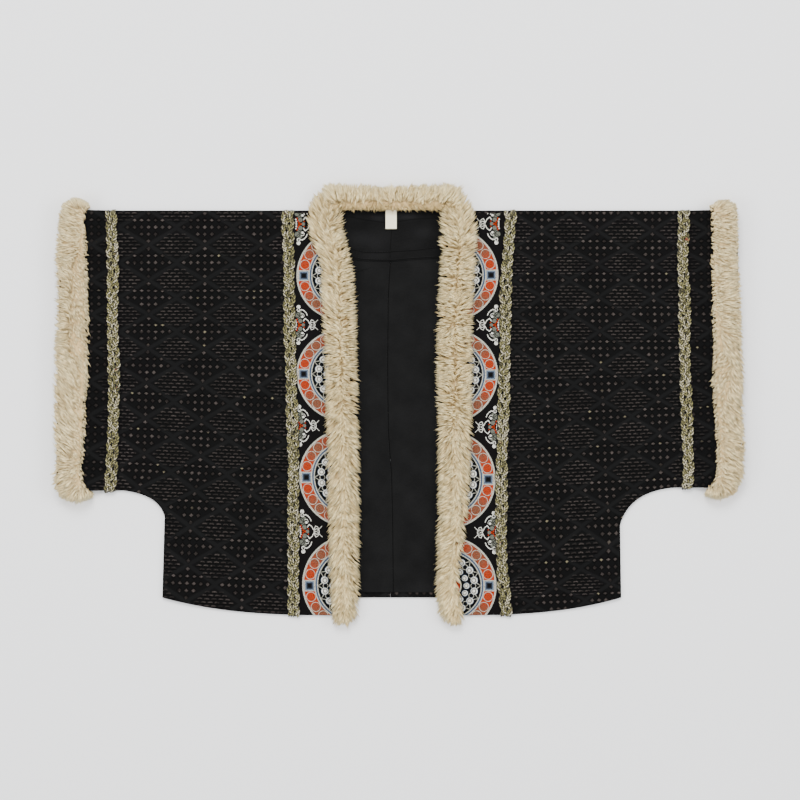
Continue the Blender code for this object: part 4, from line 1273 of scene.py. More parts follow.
def lay_ribbon(half):
    side = half.side
    low_y = front_hem_y(half, front_edge_x(half, BACK_HEM_Y)) + 0.6
    rows = spread(low_y, SHOULDER_Y - 4.0, 6)
    outer = [(braid_line(half, False, y) - side * (BRAID_WIDTH / 2 - 1.5), y) for y in rows]
    inner = [(front_edge_x(half, y) + side * 0.5, y) for y in rows]

    def top(x, y):
        ripple = 0.15 * np.sin(y / 13.0 + x / 31.0) + 0.1 * np.sin(y / 29.0)
        return trim_base(half, x, y) + 0.75 + 0.2 + ripple

    band, area = lay_sheet(f"brocade_{half.name}", outer + inner[::-1], 4, top, 0.7)
    x, y = points_of(band)[:, :2].T
    chart_points(band, "ribbon", *ribbon_chart(half, x, y))
    finished_sheet(band, brocade_finish, f"ribbon_{half.name}",
                   area)


for half in HALVES:
    lay_ribbon(half)

# %% [markdown]
# ## The plaited braid
# Four braids of olive gold yarn run over the shoulder and down the fronts and sleeves. Each is a
# flat plait of three strands, and each strand is itself a small plait of three yarns. One yarn is
# modelled and laid along nine paths. At both scales a path swings from side to side as a cosine
# and rises and sinks as a sine of twice the turn, which makes three into a plait. The yarns are
# mottled from cream to olive along their length, and painted shade darkens them where they sink
# under another, along their sides and in the grooves of their twist.

# %% One yarn
YARN_SIDES = 4
YARN_STEP = 1.1
FIRST_CUTS = 8
UP = np.array([0.0, 0.0, 1.0])


def standing(add, **shape):
    """A primitive of radius 1 that stands on Z from 0 to 1."""
    bpy.ops.object.select_all(action="DESELECT")
    add(depth=1, location=(0, 0, 0.5), **shape)
    bpy.ops.object.transform_apply(location=True, rotation=False, scale=False)
    return bpy.context.object


def cut_lengthwise(yarn, cuts):
    """Adds rings between each two rings of a tube along Z. One call can't add more than a hundred."""
    def upright(edge):
        a, b = (yarn.data.vertices[v].co.z for v in edge.vertices)
        return abs(a - b) > 0.01

    select_edges(yarn, upright)
    with editing():
        bpy.ops.mesh.subdivide(number_cuts=cuts)


def one_yarn(lengths):
    """A tube along Z from 0 to 1, cut into 8 times that many lengths, as points and faces."""
    yarn = standing(bpy.ops.mesh.primitive_cylinder_add, vertices=YARN_SIDES, radius=1)
    cut_lengthwise(yarn, FIRST_CUTS - 1)
    cut_lengthwise(yarn, lengths - 1)
    points = points_of(yarn) * MM
    corners, sizes = mesh_arrays(yarn)
    bpy.data.objects.remove(yarn)
    return points, corners, sizes


def rings_of(points, rows):
    """Which of the rows along Z each point is in."""
    return np.clip(np.round(points[:, 2] * (rows - 1)).astype(int), 0, rows - 1)


def across_and_up(ahead, limit, spare):
    """Two directions across each way ahead. Where that is nearly upright, up comes from the spare axis."""
    up = UP - ahead * ahead[:, 2:3]
    steep = np.linalg.norm(up, axis=1) < limit
    up[steep] = np.eye(3)[spare] - ahead[steep] * ahead[steep][:, spare:spare + 1]
    up = unit(up)
    return np.cross(ahead, up), up


def lay_tube(points, path, radius, flat):
    """Lays the points of a tube along a path of places in mm. flat is width over thickness."""
    ring = rings_of(points, len(path))
    across, up = across_and_up(unit(np.gradient(path, axis=0)), 0.3, 1)
    places = points[:, :1] * across[ring] * flat + points[:, 1:2] * up[ring] / flat
    return path[ring] + radius[ring][:, None] * places


PLAIT_PERIOD, PLAIT_REACH = 52.0, 5.5
YARN_PERIOD, YARN_REACH, YARN_RADIUS = 14.0, 2.15, 1.2
# Height of the middle of the plait, and how far its strands and their yarns rise and sink
PLAIT_MIDDLE, STRAND_RISE, YARN_RISE = 2.1, 0.8, 0.65
YARN_TINTS = [0.72, 0.55, 0.42]
END_TAPER = 2.5


def braid_path(half, sleeve):
    """The line of a braid over the shoulder fold, down the cloth and round its lower edge."""
    end_y = half.sleeve_low if sleeve else front_hem_y(half, braid_line(half, False, BACK_HEM_Y))
    ys = np.arange(end_y + 2.0, SHOULDER_Y - FOLD_DEPTH - 0.5, 1.0)[::-1]
    xs = braid_line(half, sleeve, ys)
    height = trim_base(half, xs, ys) + 0.1
    shoulder = height[0]
    over = ((3.0, 1.2), (3.1, shoulder * 0.5), (3.3, shoulder * 0.85))
    start = [(xs[0], SHOULDER_Y - drop, z) for drop, z in over]
    last = height[-1]
    stop = [(xs[-1], end_y - 0.6, last * 0.85), (xs[-1], end_y - 1.0, max(0.9, last * 0.5))]
    if last > 4.0:
        stop.append((xs[-1], end_y - 0.9, 0.9 if not sleeve else last * 0.3))
    return np.array(start + list(zip(xs, ys, height)) + stop)


def lay_braid(half, sleeve):
    place = f"{'sleeve' if sleeve else 'front'}_{half.name}"
    rng = np.random.default_rng(11 + (5 if sleeve else 0) + (1 if half.side > 0 else 0))
    line = braid_path(half, sleeve)
    run = run_along(line)
    lengths = round(run[-1] / FIRST_CUTS / YARN_STEP)
    rows = lengths * FIRST_CUTS + 1
    points, corners, sizes = one_yarn(lengths)
    ring = rings_of(points, rows)
    t = np.linspace(0, run[-1], rows)
    middle = np.column_stack([np.interp(t, run, line[:, axis]) for axis in range(3)])
    ahead = unit(np.gradient(middle, axis=0))
    out = np.column_stack([np.zeros(rows), -ahead[:, 2], ahead[:, 1]])
    out = unit(out * np.where(out[:, 2:3] + out[:, 1:2] * 0.5 < 0, -1.0, 1.0))

    def sway(size, length):
        """A slow wave along the braid that starts anywhere."""
        return size * np.sin(t / length + rng.uniform(0, 6))

    wander = sway(1.0, 47.0) + sway(0.5, 19.0)
    phase = t + sway(3.5, 37.0) + sway(1.8, 13.0)
    ends = np.sin(np.clip(t / END_TAPER, 0, 1) * np.pi / 2)
    ends = ends * np.sin(np.clip((run[-1] - t) / END_TAPER, 0, 1) * np.pi / 2)
    reach = PLAIT_REACH + sway(0.4, 21.0) + sway(0.3, 8.0)
    blocks, shade, crests = [], [], []
    for strand in range(3):
        turn = 2 * np.pi * (phase / PLAIT_PERIOD + strand / 3)
        swing = reach * np.cos(turn) + sway(0.3, 6.0)
        weave = np.sin(2 * turn)
        lean = np.arctan(np.gradient(swing, t))
        small = t / YARN_PERIOD + sway(0.1, 7.0) + rng.uniform(0, 1)
        for k, yarn_tint in enumerate(YARN_TINTS):
            own = 2 * np.pi * (small + k / 3)
            offset = YARN_REACH * np.cos(own)
            crown = np.sin(2 * own)
            across = swing + offset * np.cos(lean) + wander * 0.5
            base = middle - ahead * (offset * np.sin(lean))[:, None] + np.array([1.0, 0, 0]) * across[:, None]
            rise = PLAIT_MIDDLE + STRAND_RISE * weave + YARN_RISE * crown
            base = base + out * (rise * (0.3 + 0.7 * ends))[:, None]
            base[:, 2] = np.maximum(base[:, 2], YARN_RADIUS)
            radius = (YARN_RADIUS + sway(0.1, 3.0)) * (0.55 + 0.45 * ends)
            blocks.append(lay_tube(points, base, radius, 1.1))
            knots = rng.normal(0, 0.24, int(small.max() * 2) + 3)
            mottle = np.interp(small * 2 + 0.25 * k, np.arange(len(knots)), knots)
            # Painted shade: a yarn is lighter where it crosses over and darker where it sinks under (crown
            # and weave), on top of its own tint and mottle
            shade.append((yarn_tint + 0.2 * crown + 0.12 * weave + mottle)[ring])
            # crest is 1 on the top of a yarn and 0 at its sides, where the finish paints shade
            crests.append(np.clip(points[:, 1], 0, 1) * (0.75 + 0.25 * crown)[ring])
    piece = copies_mesh(f"plait_{place}", np.array(blocks), corners, sizes)
    note_points(piece, tint=np.concatenate(shade), crest=np.concatenate(crests))
    round_yarn = np.tile(np.arctan2(points[:, 1], points[:, 0]) / (2 * np.pi) * 5.0, len(blocks))
    chart_points(piece, "yarn", round_yarn, np.tile(points[:, 2] * run[-1], len(blocks)))
    shade_soft(piece, 75)
    finished(piece, plait_finish, [f"braid_{place}"])


# %% Yarn finish
PLY = 1.6


def yarn_finish():
    yarn = Finish("plait_yarn", Roughness=0.5, Specular_IOR_Level=0.35, Sheen_Weight=0.08)
    u, v = yarn.chart("yarn")
    x, y, z = yarn.place()
    spot = yarn.vector(x, y, z)
    ply = (u * 1.25 + v * 0.9).waves(PLY) * 0.5 + 0.5
    patch = yarn.noise(yarn.vector(x * 0.6, y * 0.3, z), 0.6, 2.0)
    dark = yarn.noise(yarn.vector(x, y * 0.6, z), 0.16, 2.0).within(0.36, 0.06)
    # Own tint and patches, with the painted shade of the crossings
    mix = (yarn.noted("tint") + (patch - 0.5) * 1.3 - dark * 0.35).kept(0.0, 1.0)
    stops = [(0.0, paint(24, 22, 16)), (0.3, paint(98, 93, 48)), (0.6, paint(174, 166, 94)),
             (1.0, paint(255, 244, 212))]
    base = yarn.node("ShaderNodeValToRGB", {"stops": stops}, {"Fac": mix})
    # Painted shade in the grooves between the plies
    base = yarn.blend(1 - ply, base, paint(84, 78, 46))
    base = yarn.blend(ply * 0.5 + 0.5, paint(56, 52, 32), base)
    red = yarn.noise(spot, 0.12, 2.0).within(0.27, 0.01)
    # Painted shade along the sides of each yarn, and a few red specks
    base = yarn.painted(base, (yarn.noted("crest").within(0.45, 0.3), paint(30, 28, 20)),
                        (red * 0.7, paint(120, 45, 30)))
    height = ply + yarn.noise(spot, 2.0, 2.0) * 0.4
    return yarn.feed(Base_Color=base, Normal=yarn.bump(height, 0.3, 0.6))


plait_finish = yarn_finish()
for half in HALVES:
    for sleeve in (False, True):
        lay_braid(half, sleeve)

# %% [markdown]
# ## Imitation fur
# The fronts, the neck and the sleeve ends are edged with long-piled cream fur. Particle hair would
# be the quick way, but it doesn't survive as a mesh. So one lock is modelled, a thin three-sided
# spike with a bend, and tens of thousands of copies are combed into place over a core roll. Four
# locks share a tuft, and a tuft has a root, a way out, a way for its tip, and a length that ends
# near the outline of the fur, which gives the ragged edge.

# %% One lock
LOCK_RADII = np.array([0.8, 1.0, 0.0])


def one_lock():
    """A three-sided spike along Z from 0 to 1, with a ring at its middle."""
    lock = standing(bpy.ops.mesh.primitive_cone_add, vertices=3, radius1=1, radius2=0)
    with editing():
        slice_mesh([0.5], 2)
        bpy.ops.mesh.select_all(action="SELECT")
        bpy.ops.mesh.quads_convert_to_tris()
    points = points_of(lock) * MM
    corners, sizes = mesh_arrays(lock)
    bpy.data.objects.remove(lock)
    ring = rings_of(points, 3)
    wide = np.linalg.norm(points[:, :2], axis=1)
    points[:, :2] *= (LOCK_RADII[ring] / np.where(wide > 0, wide, 1.0))[:, None]
    print("lock points:", len(points), "triangles:", len(sizes))
    return points, ring, corners, sizes


LOCK, LOCK_RING, LOCK_CORNERS, LOCK_SIZES = one_lock()


TUFT_LOCKS = 4
SHORTEST = 3.0


def comb(name, rng, roots, start, end, lengths, tone, floor, loose=1.0):
    """Tufts of locks. start is the way a tuft leaves its root, end the way its tip points."""
    start, end = unit(start), unit(end)
    tuft = np.repeat(np.arange(len(roots)), TUFT_LOCKS)
    apart = rng.normal(0, 1, (len(tuft), 3)) * [0.85, 0.85, 0.6] * loose
    lengths = (lengths[tuft] * rng.uniform(0.78, 1.04, len(tuft)))[:, None]
    widths = rng.uniform(0.36, 0.66, len(tuft))
    # Locks that lie lower in their tuft are painted darker, as shade inside the tuft
    tone = np.clip(tone[tuft] + rng.normal(0, 0.27, len(tuft)) + 0.12 * apart[:, 2], 0, 1)
    middle = roots[tuft] + start[tuft] * lengths * 0.5 + apart * 0.75
    tip = roots[tuft] + (start[tuft] + end[tuft]) * lengths * 0.5 + apart * 0.3
    roots = roots[tuft] + apart
    for place, clear in ((roots, 0.6), (middle, 0.6), (tip, 0.2)):
        place[:, 2] = np.maximum(place[:, 2], floor(place[:, 0], place[:, 1]) + clear)
    spine = np.stack([roots, middle, tip], 1)
    across, up = across_and_up(unit(tip - roots), 0.25, 0)
    local = LOCK[None, :, :2] * widths[:, None, None]
    places = spine[:, LOCK_RING] + local[..., :1] * across[:, None] + local[..., 1:] * up[:, None] * 0.7
    piece = copies_mesh(name, places, LOCK_CORNERS, LOCK_SIZES)
    note_points(piece, tone=np.repeat(tone, len(LOCK)), reach=np.tile(LOCK_RING / 2.0, len(roots)))
    piece.data.polygons.foreach_set("use_smooth", np.ones(len(piece.data.polygons), bool))
    return piece


# %% Fur finish
def fur_finish():
    fur = Finish("cream_pile", Roughness=0.6, Specular_IOR_Level=0.25)
    x, y, z = fur.place()
    # tone is random for each tuft and lock, with painted shade for locks low in a tuft and for the hanging
    # hair of the neck
    tone, reach = fur.noted("tone"), fur.noted("reach")
    patch = fur.noise(fur.vector(x, y, z), 0.045, 2.0)
    # Roots are darker than the body: partly the pile's own tan, partly painted shade deep in the pile
    root = fur.blend(patch, paint(184, 158, 110), paint(204, 178, 128))
    body = fur.blend(tone, paint(196, 170, 116), paint(250, 232, 178))
    ends = fur.blend(tone, paint(214, 191, 136), paint(255, 244, 200))
    sleeves = abs(x).within(300.0, 40.0) * -0.12 + 0.12
    colour = fur.painted(root, ((reach * 2.0).smaller(1.0), body), ((reach * 2.0 - 1.0).larger(0.0), ends),
                         (((patch - 0.5) * 1.2).kept(0.0, 0.3), paint(198, 170, 120)),
                         (sleeves, paint(226, 220, 196)))
    return fur.feed(Base_Color=colour)


fur_material = fur_finish()
backing = Finish("fur_backing", Base_Color=paint(200, 172, 124), Roughness=0.95, Specular_IOR_Level=0.1)


# %% Core rolls
CORE_SIDES = 12


def part_of_turn(turn, parts):
    """Which of so many parts of a full turn an angle falls in."""
    return np.round(turn / (2 * np.pi) * parts).astype(int) % parts


def core_roll(name, path, across, up, profiles, closed=False):
    """A soft roll under the pile: a tube laid along a path, with one profile of (across, up) for each row."""
    rows, sides = profiles.shape[:2]
    if closed:
        bpy.ops.object.select_all(action="DESELECT")
        bpy.ops.mesh.primitive_torus_add(major_segments=rows, minor_segments=sides,
                                         major_radius=1, minor_radius=0.25)
        roll = bpy.context.object
        x, y, z = points_of(roll).T * MM
        row = part_of_turn(np.arctan2(y, x), rows)
        turn = np.arctan2(z, np.linalg.norm([x, y], axis=0) - 1)
    else:
        roll = standing(bpy.ops.mesh.primitive_cylinder_add, vertices=sides, radius=1)
        with editing():
            slice_mesh([k / (rows - 1) for k in range(1, rows - 1)], 2)
        points = points_of(roll) * MM
        row, turn = rings_of(points, rows), np.arctan2(points[:, 1], points[:, 0])
    shape = profiles[row, part_of_turn(turn, sides)]
    move_points(roll, path[row] + across[row] * shape[:, :1] + up[row] * shape[:, 1:])
    roll.name = name
    face_outwards(roll)
    shade_soft(roll, 60)
    finished(roll, backing.material, [])


def oval(half_width, height):
    turn = np.linspace(0, 2 * np.pi, CORE_SIDES, endpoint=False)
    return np.column_stack([half_width * np.cos(turn), height / 2 + height / 2 * np.sin(turn)])


# %% Fur along the fronts
# Lowest and highest y of the pile, of its roots, and of the roll under it
FRONT_PILE, FRONT_ROOTS, FRONT_CORE = (-297.0, 296.0), (-292.0, 290.0), (-290.0, 289.0)
FRONT_TUFTS = 3650


def front_outline(half, y):
    """Left and right outline of the pile. The inner lower corner is rounded off."""
    middle, half_width = front_fur(half.side, y)
    cut = 15.0 * (1 - np.sqrt(1 - np.clip((-282.0 - y) / 15.0, 0, 1) ** 2))
    left = middle - half_width + (cut if half.side > 0 else 0)
    right = middle + half_width - (cut if half.side < 0 else 0)
    return left, right


def front_floor(half):
    """What lies under the fur of a front: the lining inside, the front outside, the table beyond."""
    def floor(x, y):
        outside = (x - front_edge_x(half, y)) * half.side > -1.0
        on_cloth = (y < SHOULDER_Y + 1) & (y > front_hem_y(half, x) - 1.0)
        on_back = (y < BACK_NECK_Y + 1) & (y > BACK_HEM_Y - 1.0)
        top = np.where(on_back, LINING_TOP + 0.8, 0.2)
        return np.where(outside & on_cloth, front_top(half, x, np.maximum(y, -284.0)) + 1.5, top)
    return floor


def tips(across, y, lengths, start, end):
    """Where locks end that leave their roots one way and end another."""
    return across + lengths * (start[:, 0] + end[:, 0]) / 2, y + lengths * (start[:, 1] + end[:, 1]) / 2


def pull_to_tufts(rng, places, spacing, strength):
    """How far each place moves towards the nearest of many tuft centres, and a tone for that tuft."""
    low, high = places.min() - spacing, places.max() + spacing
    centres = np.sort(low + np.cumsum(rng.uniform(0.5, 1.5, int((high - low) / spacing) + 2)) * spacing)
    at = np.clip(np.searchsorted(centres, places), 1, len(centres) - 1)
    left, right = centres[at - 1], centres[at]
    nearest = np.where(places - left < right - places, at - 1, at)
    return (centres[nearest] - places) * strength, rng.normal(0, 1, len(centres))[nearest]


# How the pile of each front is combed, read off the photograph: y, where the parting lies from
# -1 to 1 across the roll, and the slope of the hair to the left and to the right of it
COMBED = {
    "left": [(-297, 0.3, -3.0, -3.0), (-265, 0.2, -1.8, -1.6), (-217, 0.1, -1.8, -1.1),
             (-170, 0.1, -1.5, -0.9), (-116, 0.1, -1.7, -1.1), (-55, 0.15, -1.35, -0.95),
             (-15, 0.0, -1.1, -0.75), (19, 0.0, -0.7, -0.45), (46, 0.05, -0.15, -0.25),
             (80, 0.05, 0.15, -0.1), (107, 0.1, 0.7, 0.25), (134, 0.1, 1.1, 0.5), (161, 0.1, 0.85, 0.3),
             (194, 0.2, 1.0, 0.35), (242, 0.25, 1.6, 0.7), (275, 0.2, 2.2, 2.0), (297, 0, 3, 3)],
    "right": [(-297, 0.5, -3.0, -3.0), (-265, 0.6, -1.6, -2.0), (-217, 0.7, -0.8, -1.4),
              (-170, 0.6, -1.0, -1.2), (-130, 0.3, -0.6, -1.5), (-103, 0.15, -1.1, -1.4),
              (-42, 0.0, -1.1, -1.2), (-11, 0.0, 0.3, -0.7), (16, 0.0, 0.3, 0.4), (49, 0.05, 0.25, 0.3),
              (76, 0.0, -0.1, -0.35), (97, 0.0, -0.55, 0.0), (113, 0.0, -0.2, 0.2),
              (140, 0.05, 0.3, 0.45), (161, 0.0, 0.1, 0.1), (194, 0.0, 0.1, 0.3), (221, 0.0, 0.4, 1.0),
              (246, 0.0, 0.9, 1.5), (282, 0.0, 2.5, 2.2), (297, 0, 3, 3)],
}


def fullness_of(y, low, high, length):
    """How full a roll is that is rounded over that length at both its ends."""
    return np.sqrt(1 - (1 - np.clip(np.minimum(y - low, high - y) / length, 0, 1)) ** 2)


def grow_front(half, count):
    side = half.side
    pile_low, pile_high = FRONT_PILE
    rng = np.random.default_rng(3 if side < 0 else 4)
    y = rng.uniform(*FRONT_ROOTS, count)
    middle, half_width = front_fur(side, y)
    fullness = fullness_of(y, pile_low, pile_high, 18.0)
    parting, slope_left, slope_right = read_rows(COMBED[half.name], y)
    share = rng.uniform(-1, 1, count)
    share = np.where(rng.uniform(0, 1, count) < 0.2, parting + rng.normal(0, 0.14, count), share)
    a = share * np.maximum(half_width - 7.0, 3.0) * (0.4 + 0.6 * fullness)
    pull, tuft_tone = pull_to_tufts(rng, y + 0.35 * a, 7.0, 0.05)
    lean = np.clip((share - parting) * 2.2 + rng.normal(0, 0.25, count), -1.0, 1.0)
    outward = np.where(lean > 0, 1.0, -1.0)
    lean = outward * np.maximum(np.abs(lean), 0.3)
    slope = np.where(lean > 0, slope_right, slope_left) + rng.normal(0, 0.18, count) + pull
    slope = slope + 0.2 * np.sin(y / 8.0 + 2.0 * outward + side)
    along_parting = 1 + 0.9 * (1 - np.abs(lean))
    rise = 0.55 * (1 - np.abs(lean) * 0.7) + rng.normal(0, 0.08, count)
    start = unit(np.column_stack([lean, slope * along_parting * 0.9, rise]))
    end = unit(np.column_stack([outward * (0.75 + 0.35 * np.abs(lean)), slope * 0.85, rise * 0.3 - 0.24]))
    # The tips stop near the outline
    lengths = rng.uniform(14.0, 23.0, count) * (0.6 + 0.4 * np.abs(lean))
    ragged = rng.normal(1.6, 1.4, count)
    for _ in range(5):
        tip_x, tip_y = tips(middle + a, y, lengths, start, end)
        left, right = front_outline(half, np.clip(tip_y, -297.0, 297.0))
        over = np.maximum.reduce([tip_x - right, left - tip_x, tip_y - pile_high, pile_low - tip_y]) - ragged
        lengths = np.maximum(lengths - np.maximum(over, 0) * 1.1, SHORTEST)
    arch = np.sqrt(np.clip(1 - (share * 0.9) ** 2, 0, 1))
    base_z = np.where(share * side > 0, 7.2, 3.5)
    z = base_z + (15.5 - base_z) * arch * (0.4 + 0.6 * fullness) * rng.uniform(0.76, 1.0, count)
    tone = 0.5 + 0.08 * tuft_tone + rng.normal(0, 0.15, count)
    roots = np.column_stack([middle + a, y, z])
    return comb(f"pile_front_{half.name}", rng, roots, start, end, lengths, tone, front_floor(half))


def straight(values, axis):
    """That axis, once for each value."""
    return np.tile(np.eye(3)[axis], (len(values), 1))


def front_core(half):
    y = np.array(spread(*FRONT_CORE, 10))
    middle, half_width = front_fur(half.side, y)
    ends = fullness_of(y, -295.0, 294.0, 14.0) * 0.6 + 0.4
    profiles = np.array([oval(max(3.0, (w - 11.0) * e), 9.5 * e) for w, e in zip(half_width, ends)])
    path = np.column_stack([middle, y, np.full(len(y), 4.0)])
    core_roll(f"fur_core_front_{half.name}", path, straight(y, 0), straight(y, 2), profiles)


for half in HALVES:
    finished(grow_front(half, FRONT_TUFTS), fur_material, [f"fur_front_{half.name}"])
    front_core(half)


# %% Fur behind the neck
# Lowest and highest y of the pile and of its roots
NECK_PILE, NECK_ROOTS = (257.5, 296.5), (264.5, 287.5)
NECK_TUFTS = 1550
# x and the slope of the hair there
NECK_COMBED = [(-92, -0.9), (-70, -0.1), (-55, 0.35), (-35, 0.1), (-15, -0.6), (0, 0.3), (20, 0.55),
               (45, 0.4), (56, 0.3), (72, 0.9)]


def grow_neck(count):
    rng = np.random.default_rng(8)
    share = rng.uniform(-0.16, 1.16, count)
    v = rng.uniform(0, 1, count)
    y = NECK_ROOTS[0] + (NECK_ROOTS[1] - NECK_ROOTS[0]) * v
    left, right = fur_inner_x(-1, y), fur_inner_x(1, y)
    x = left + (right - left) * share
    dip = 2.6 * np.sin(np.clip(share, 0, 1) * np.pi) + 3.6 * np.exp(-((x + 22.0) / 11.0) ** 2)
    z = 7.5 + 9.5 * np.sqrt(np.clip(1 - (v * 1.7 - 0.8) ** 2, 0, 1)) * rng.uniform(0.65, 1.0, count)
    pull, tuft_tone = pull_to_tufts(rng, x, 6.0, 0.05)
    down = v + rng.normal(0, 0.08, count) < 0.24
    slope = follow(NECK_COMBED, x) * np.where(down, 1.2, 1.0) + rng.normal(0, 0.22, count) + pull
    forward = np.where(down, -1.0, 1.0)
    rise = np.where(down, 0.3, 0.9 - 0.75 * v) + rng.normal(0, 0.15, count)
    start = unit(np.column_stack([slope, forward * np.where(down, 0.7, 0.25 + v), rise]))
    end = unit(np.column_stack([slope * 1.1, forward, np.where(down, -0.6, rise * 0.4 - 0.3)]))
    lengths = np.where(down, rng.uniform(6.0, 12.0, count), rng.uniform(12.0, 21.0, count))
    room = np.where(down, y - NECK_PILE[0], NECK_PILE[1] - dip - y) + rng.normal(0.3, 1.4, count)
    run = np.maximum(np.abs(start[:, 1] + end[:, 1]) / 2, 0.2)
    lengths = np.minimum(lengths, np.maximum(room, 3.5) / run)
    # The hair that hangs down at the lower edge is painted darker, as shade under the pile above it
    tone = 0.62 - 0.75 * down + 0.12 * tuft_tone + rng.normal(0, 0.26, count)
    return comb("pile_neck", rng, np.column_stack([x, y, z]), start, end, lengths, tone,
                lambda px, py: np.where(py < BACK_NECK_Y + 1, 6.0, 0.2))


finished(grow_neck(NECK_TUFTS), fur_material, ["fur_neck"])
neck_x = np.array(spread(-76.0, 56.0, 10))
neck_path = np.column_stack([neck_x, np.full(len(neck_x), 274.5), np.full(len(neck_x), 4.5)])
neck_profiles = np.tile(oval(13.5, 12.0), (len(neck_x), 1, 1))
core_roll("fur_core_neck", neck_path, straight(neck_x, 1), straight(neck_x, 2), neck_profiles)

# %% Fur round the sleeve ends
SLOT_LOW = BACK_LIFT - 0.3
SLOT_HIGH = FRONT_LOW + FRONT_LIFT + CLOTH + 1.1
RING_TOP, RING_END = 13.0, 16.0
RING_ARC = 24.0
CUFF_TUFTS = 4200


def cuff_run(half):
    """y of the upper and the lower end of the ring, the length of a flat side, and of the whole ring."""
    high, low = SHOULDER_Y + CLOTH, half.sleeve_low - CLOTH
    return high, low, high - low, 2 * (high - low) + 2 * RING_ARC


def cuff_loop(half, turns):
    """Places round the sleeve end for turns from 0 to 1: y, z, the way out, and the depth of the pile."""
    high, low, flat, total = cuff_run(half)
    arc = RING_ARC
    s = np.mod(turns, 1.0) * total
    mid, half_gap = (SLOT_LOW + SLOT_HIGH) / 2, (SLOT_HIGH - SLOT_LOW) / 2
    y, z, out_y, out_z, depth = (np.zeros_like(s) for _ in range(5))
    upper = s < flat
    y[upper], z[upper], out_z[upper], depth[upper] = high - s[upper], SLOT_HIGH, 1.0, RING_TOP
    under = (s >= flat + arc) & (s < 2 * flat + arc)
    y[under], z[under], out_z[under], depth[under] = low + s[under] - flat - arc, SLOT_LOW, -1.0, SLOT_LOW
    for first, end_y, way in ((flat, low, -1.0), (2 * flat + arc, high, 1.0)):
        part = (s >= first) & (s < first + arc)
        a = np.pi * (s[part] - first) / arc
        y[part], z[part] = end_y + way * 0.8 * np.sin(a), mid - way * half_gap * np.cos(a)
        out_y[part], out_z[part] = way * np.sin(a), -way * np.cos(a)
        beside = np.where((a - np.pi / 2) * way > 0, RING_TOP, SLOT_LOW)
        depth[part] = RING_END * np.sin(a) + beside * (1 - np.sin(a))
    return y, z, out_y, out_z, depth


# Across the pile from its inner to its outer edge, and how high it stands there
CUFF_PROFILE = [(-0.5, 0.12), (-0.44, 0.6), (-0.22, 0.92), (0.06, 1.0), (0.34, 0.86), (0.48, 0.5),
                (0.49, 0.1)]

# Outline of the pile of each sleeve end: y, then how far its inner and its outer edge lie from
# the middle of the garment
CUFF_PILE = {
    "left": [
        (280, 434.5, 439), (278, 429.5, 441.5), (275.5, 423, 444), (272.5, 418, 448), (270, 414.5, 450),
        (267.5, 416, 452.5), (264.5, 420, 453.5), (262, 421, 455), (256.5, 422, 457.5),
        (245.5, 423, 459.5), (227, 423, 461), (208, 422, 462.5), (181, 422.5, 461), (151, 421, 460.5),
        (113.5, 421, 461), (75.5, 421, 463.5), (38, 421, 463), (0, 423.5, 464), (-38, 425, 464),
        (-56.5, 426, 461.5), (-75.5, 428, 461), (-83.5, 428.5, 462.5), (-94.5, 429, 465),
        (-105.5, 427.5, 465), (-112, 423, 463.5), (-116, 416, 461.5), (-120, 413, 459.5),
        (-124, 414.5, 457), (-128, 418, 452.5), (-131, 422.5, 447.5), (-133, 430.5, 437.5)],
    "right": [
        (276, 433.5, 437.5), (274, 427.5, 443.5), (271.5, 424.5, 447.5), (268.5, 423.5, 451.5),
        (264.5, 422.5, 454.5), (259, 422, 456.5), (245.5, 421.5, 457), (217.5, 422, 457.5),
        (189, 421, 458), (160.5, 422.5, 460), (132.5, 423, 461), (94.5, 425, 461.5), (66, 426, 462),
        (38, 424.5, 464), (9.5, 424.5, 462), (-19, 427.5, 463), (-48.5, 429.5, 464.5), (-65, 429, 466),
        (-81, 429, 465), (-92, 429, 464.5), (-100, 426.5, 463), (-105.5, 422.5, 461),
        (-109.5, 416, 458.5), (-112, 403.5, 456.5), (-116, 403.5, 453.5), (-120, 409, 449.5),
        (-124, 414, 445), (-127, 418, 440), (-129.5, 428, 433.5)],
}

# Where the pile fans out from at the lower and at the upper end of a sleeve end
CUFF_FAN = {"left": ((425, -103), (425, 254)), "right": ((425, -97), (424, 258))}

# How the pile of each sleeve end is combed: y, where the parting lies (-0.5 is the inner edge),
# and the slope of the hair towards the sleeve end and towards the body
CUFF_COMBED = {
    "left": [(-130, -0.5, -1.2, -1.0), (-96, -0.5, -0.6, -1.0), (-82, -0.45, -0.2, -1.0),
             (-69, -0.42, 1.0, -1.2), (0, -0.42, 1.25, -1.4), (40, -0.3, 1.3, -1.5),
             (60, -0.05, 0.5, -1.5), (100, 0.0, 0.15, -1.6), (134, -0.05, 0.6, -1.3),
             (180, -0.1, 0.6, -1.1), (205, -0.35, 0.1, -0.7), (228, -0.45, 0.35, 0.0),
             (255, -0.5, 0.7, 0.5), (280, -0.5, 1.2, 1.0)],
    "right": [(-130, -0.5, -1.4, -1.0), (-96, -0.45, -0.8, -0.8), (-62, -0.42, -0.7, -0.8),
              (-22, -0.4, -0.9, -0.9), (5, -0.25, -1.2, -0.9), (26, -0.02, -1.5, -1.0),
              (60, 0.0, -1.6, -1.1), (80, -0.3, -0.9, -1.0), (107, -0.42, -0.6, -0.6),
              (127, -0.42, -0.15, -0.4), (147, -0.42, 0.3, 0.2), (161, -0.42, 0.15, 0.2),
              (181, -0.42, 0.0, 0.0), (201, -0.42, -0.45, 0.2), (221, -0.42, -0.25, 0.2),
              (242, -0.42, 0.0, 0.4), (262, -0.5, 0.8, 0.8), (280, -0.5, 1.2, 1.0)],
}


def pile_edges(half, y):
    """Inner and outer edge of the pile of a sleeve end."""
    return read_rows(CUFF_PILE[half.name], y)


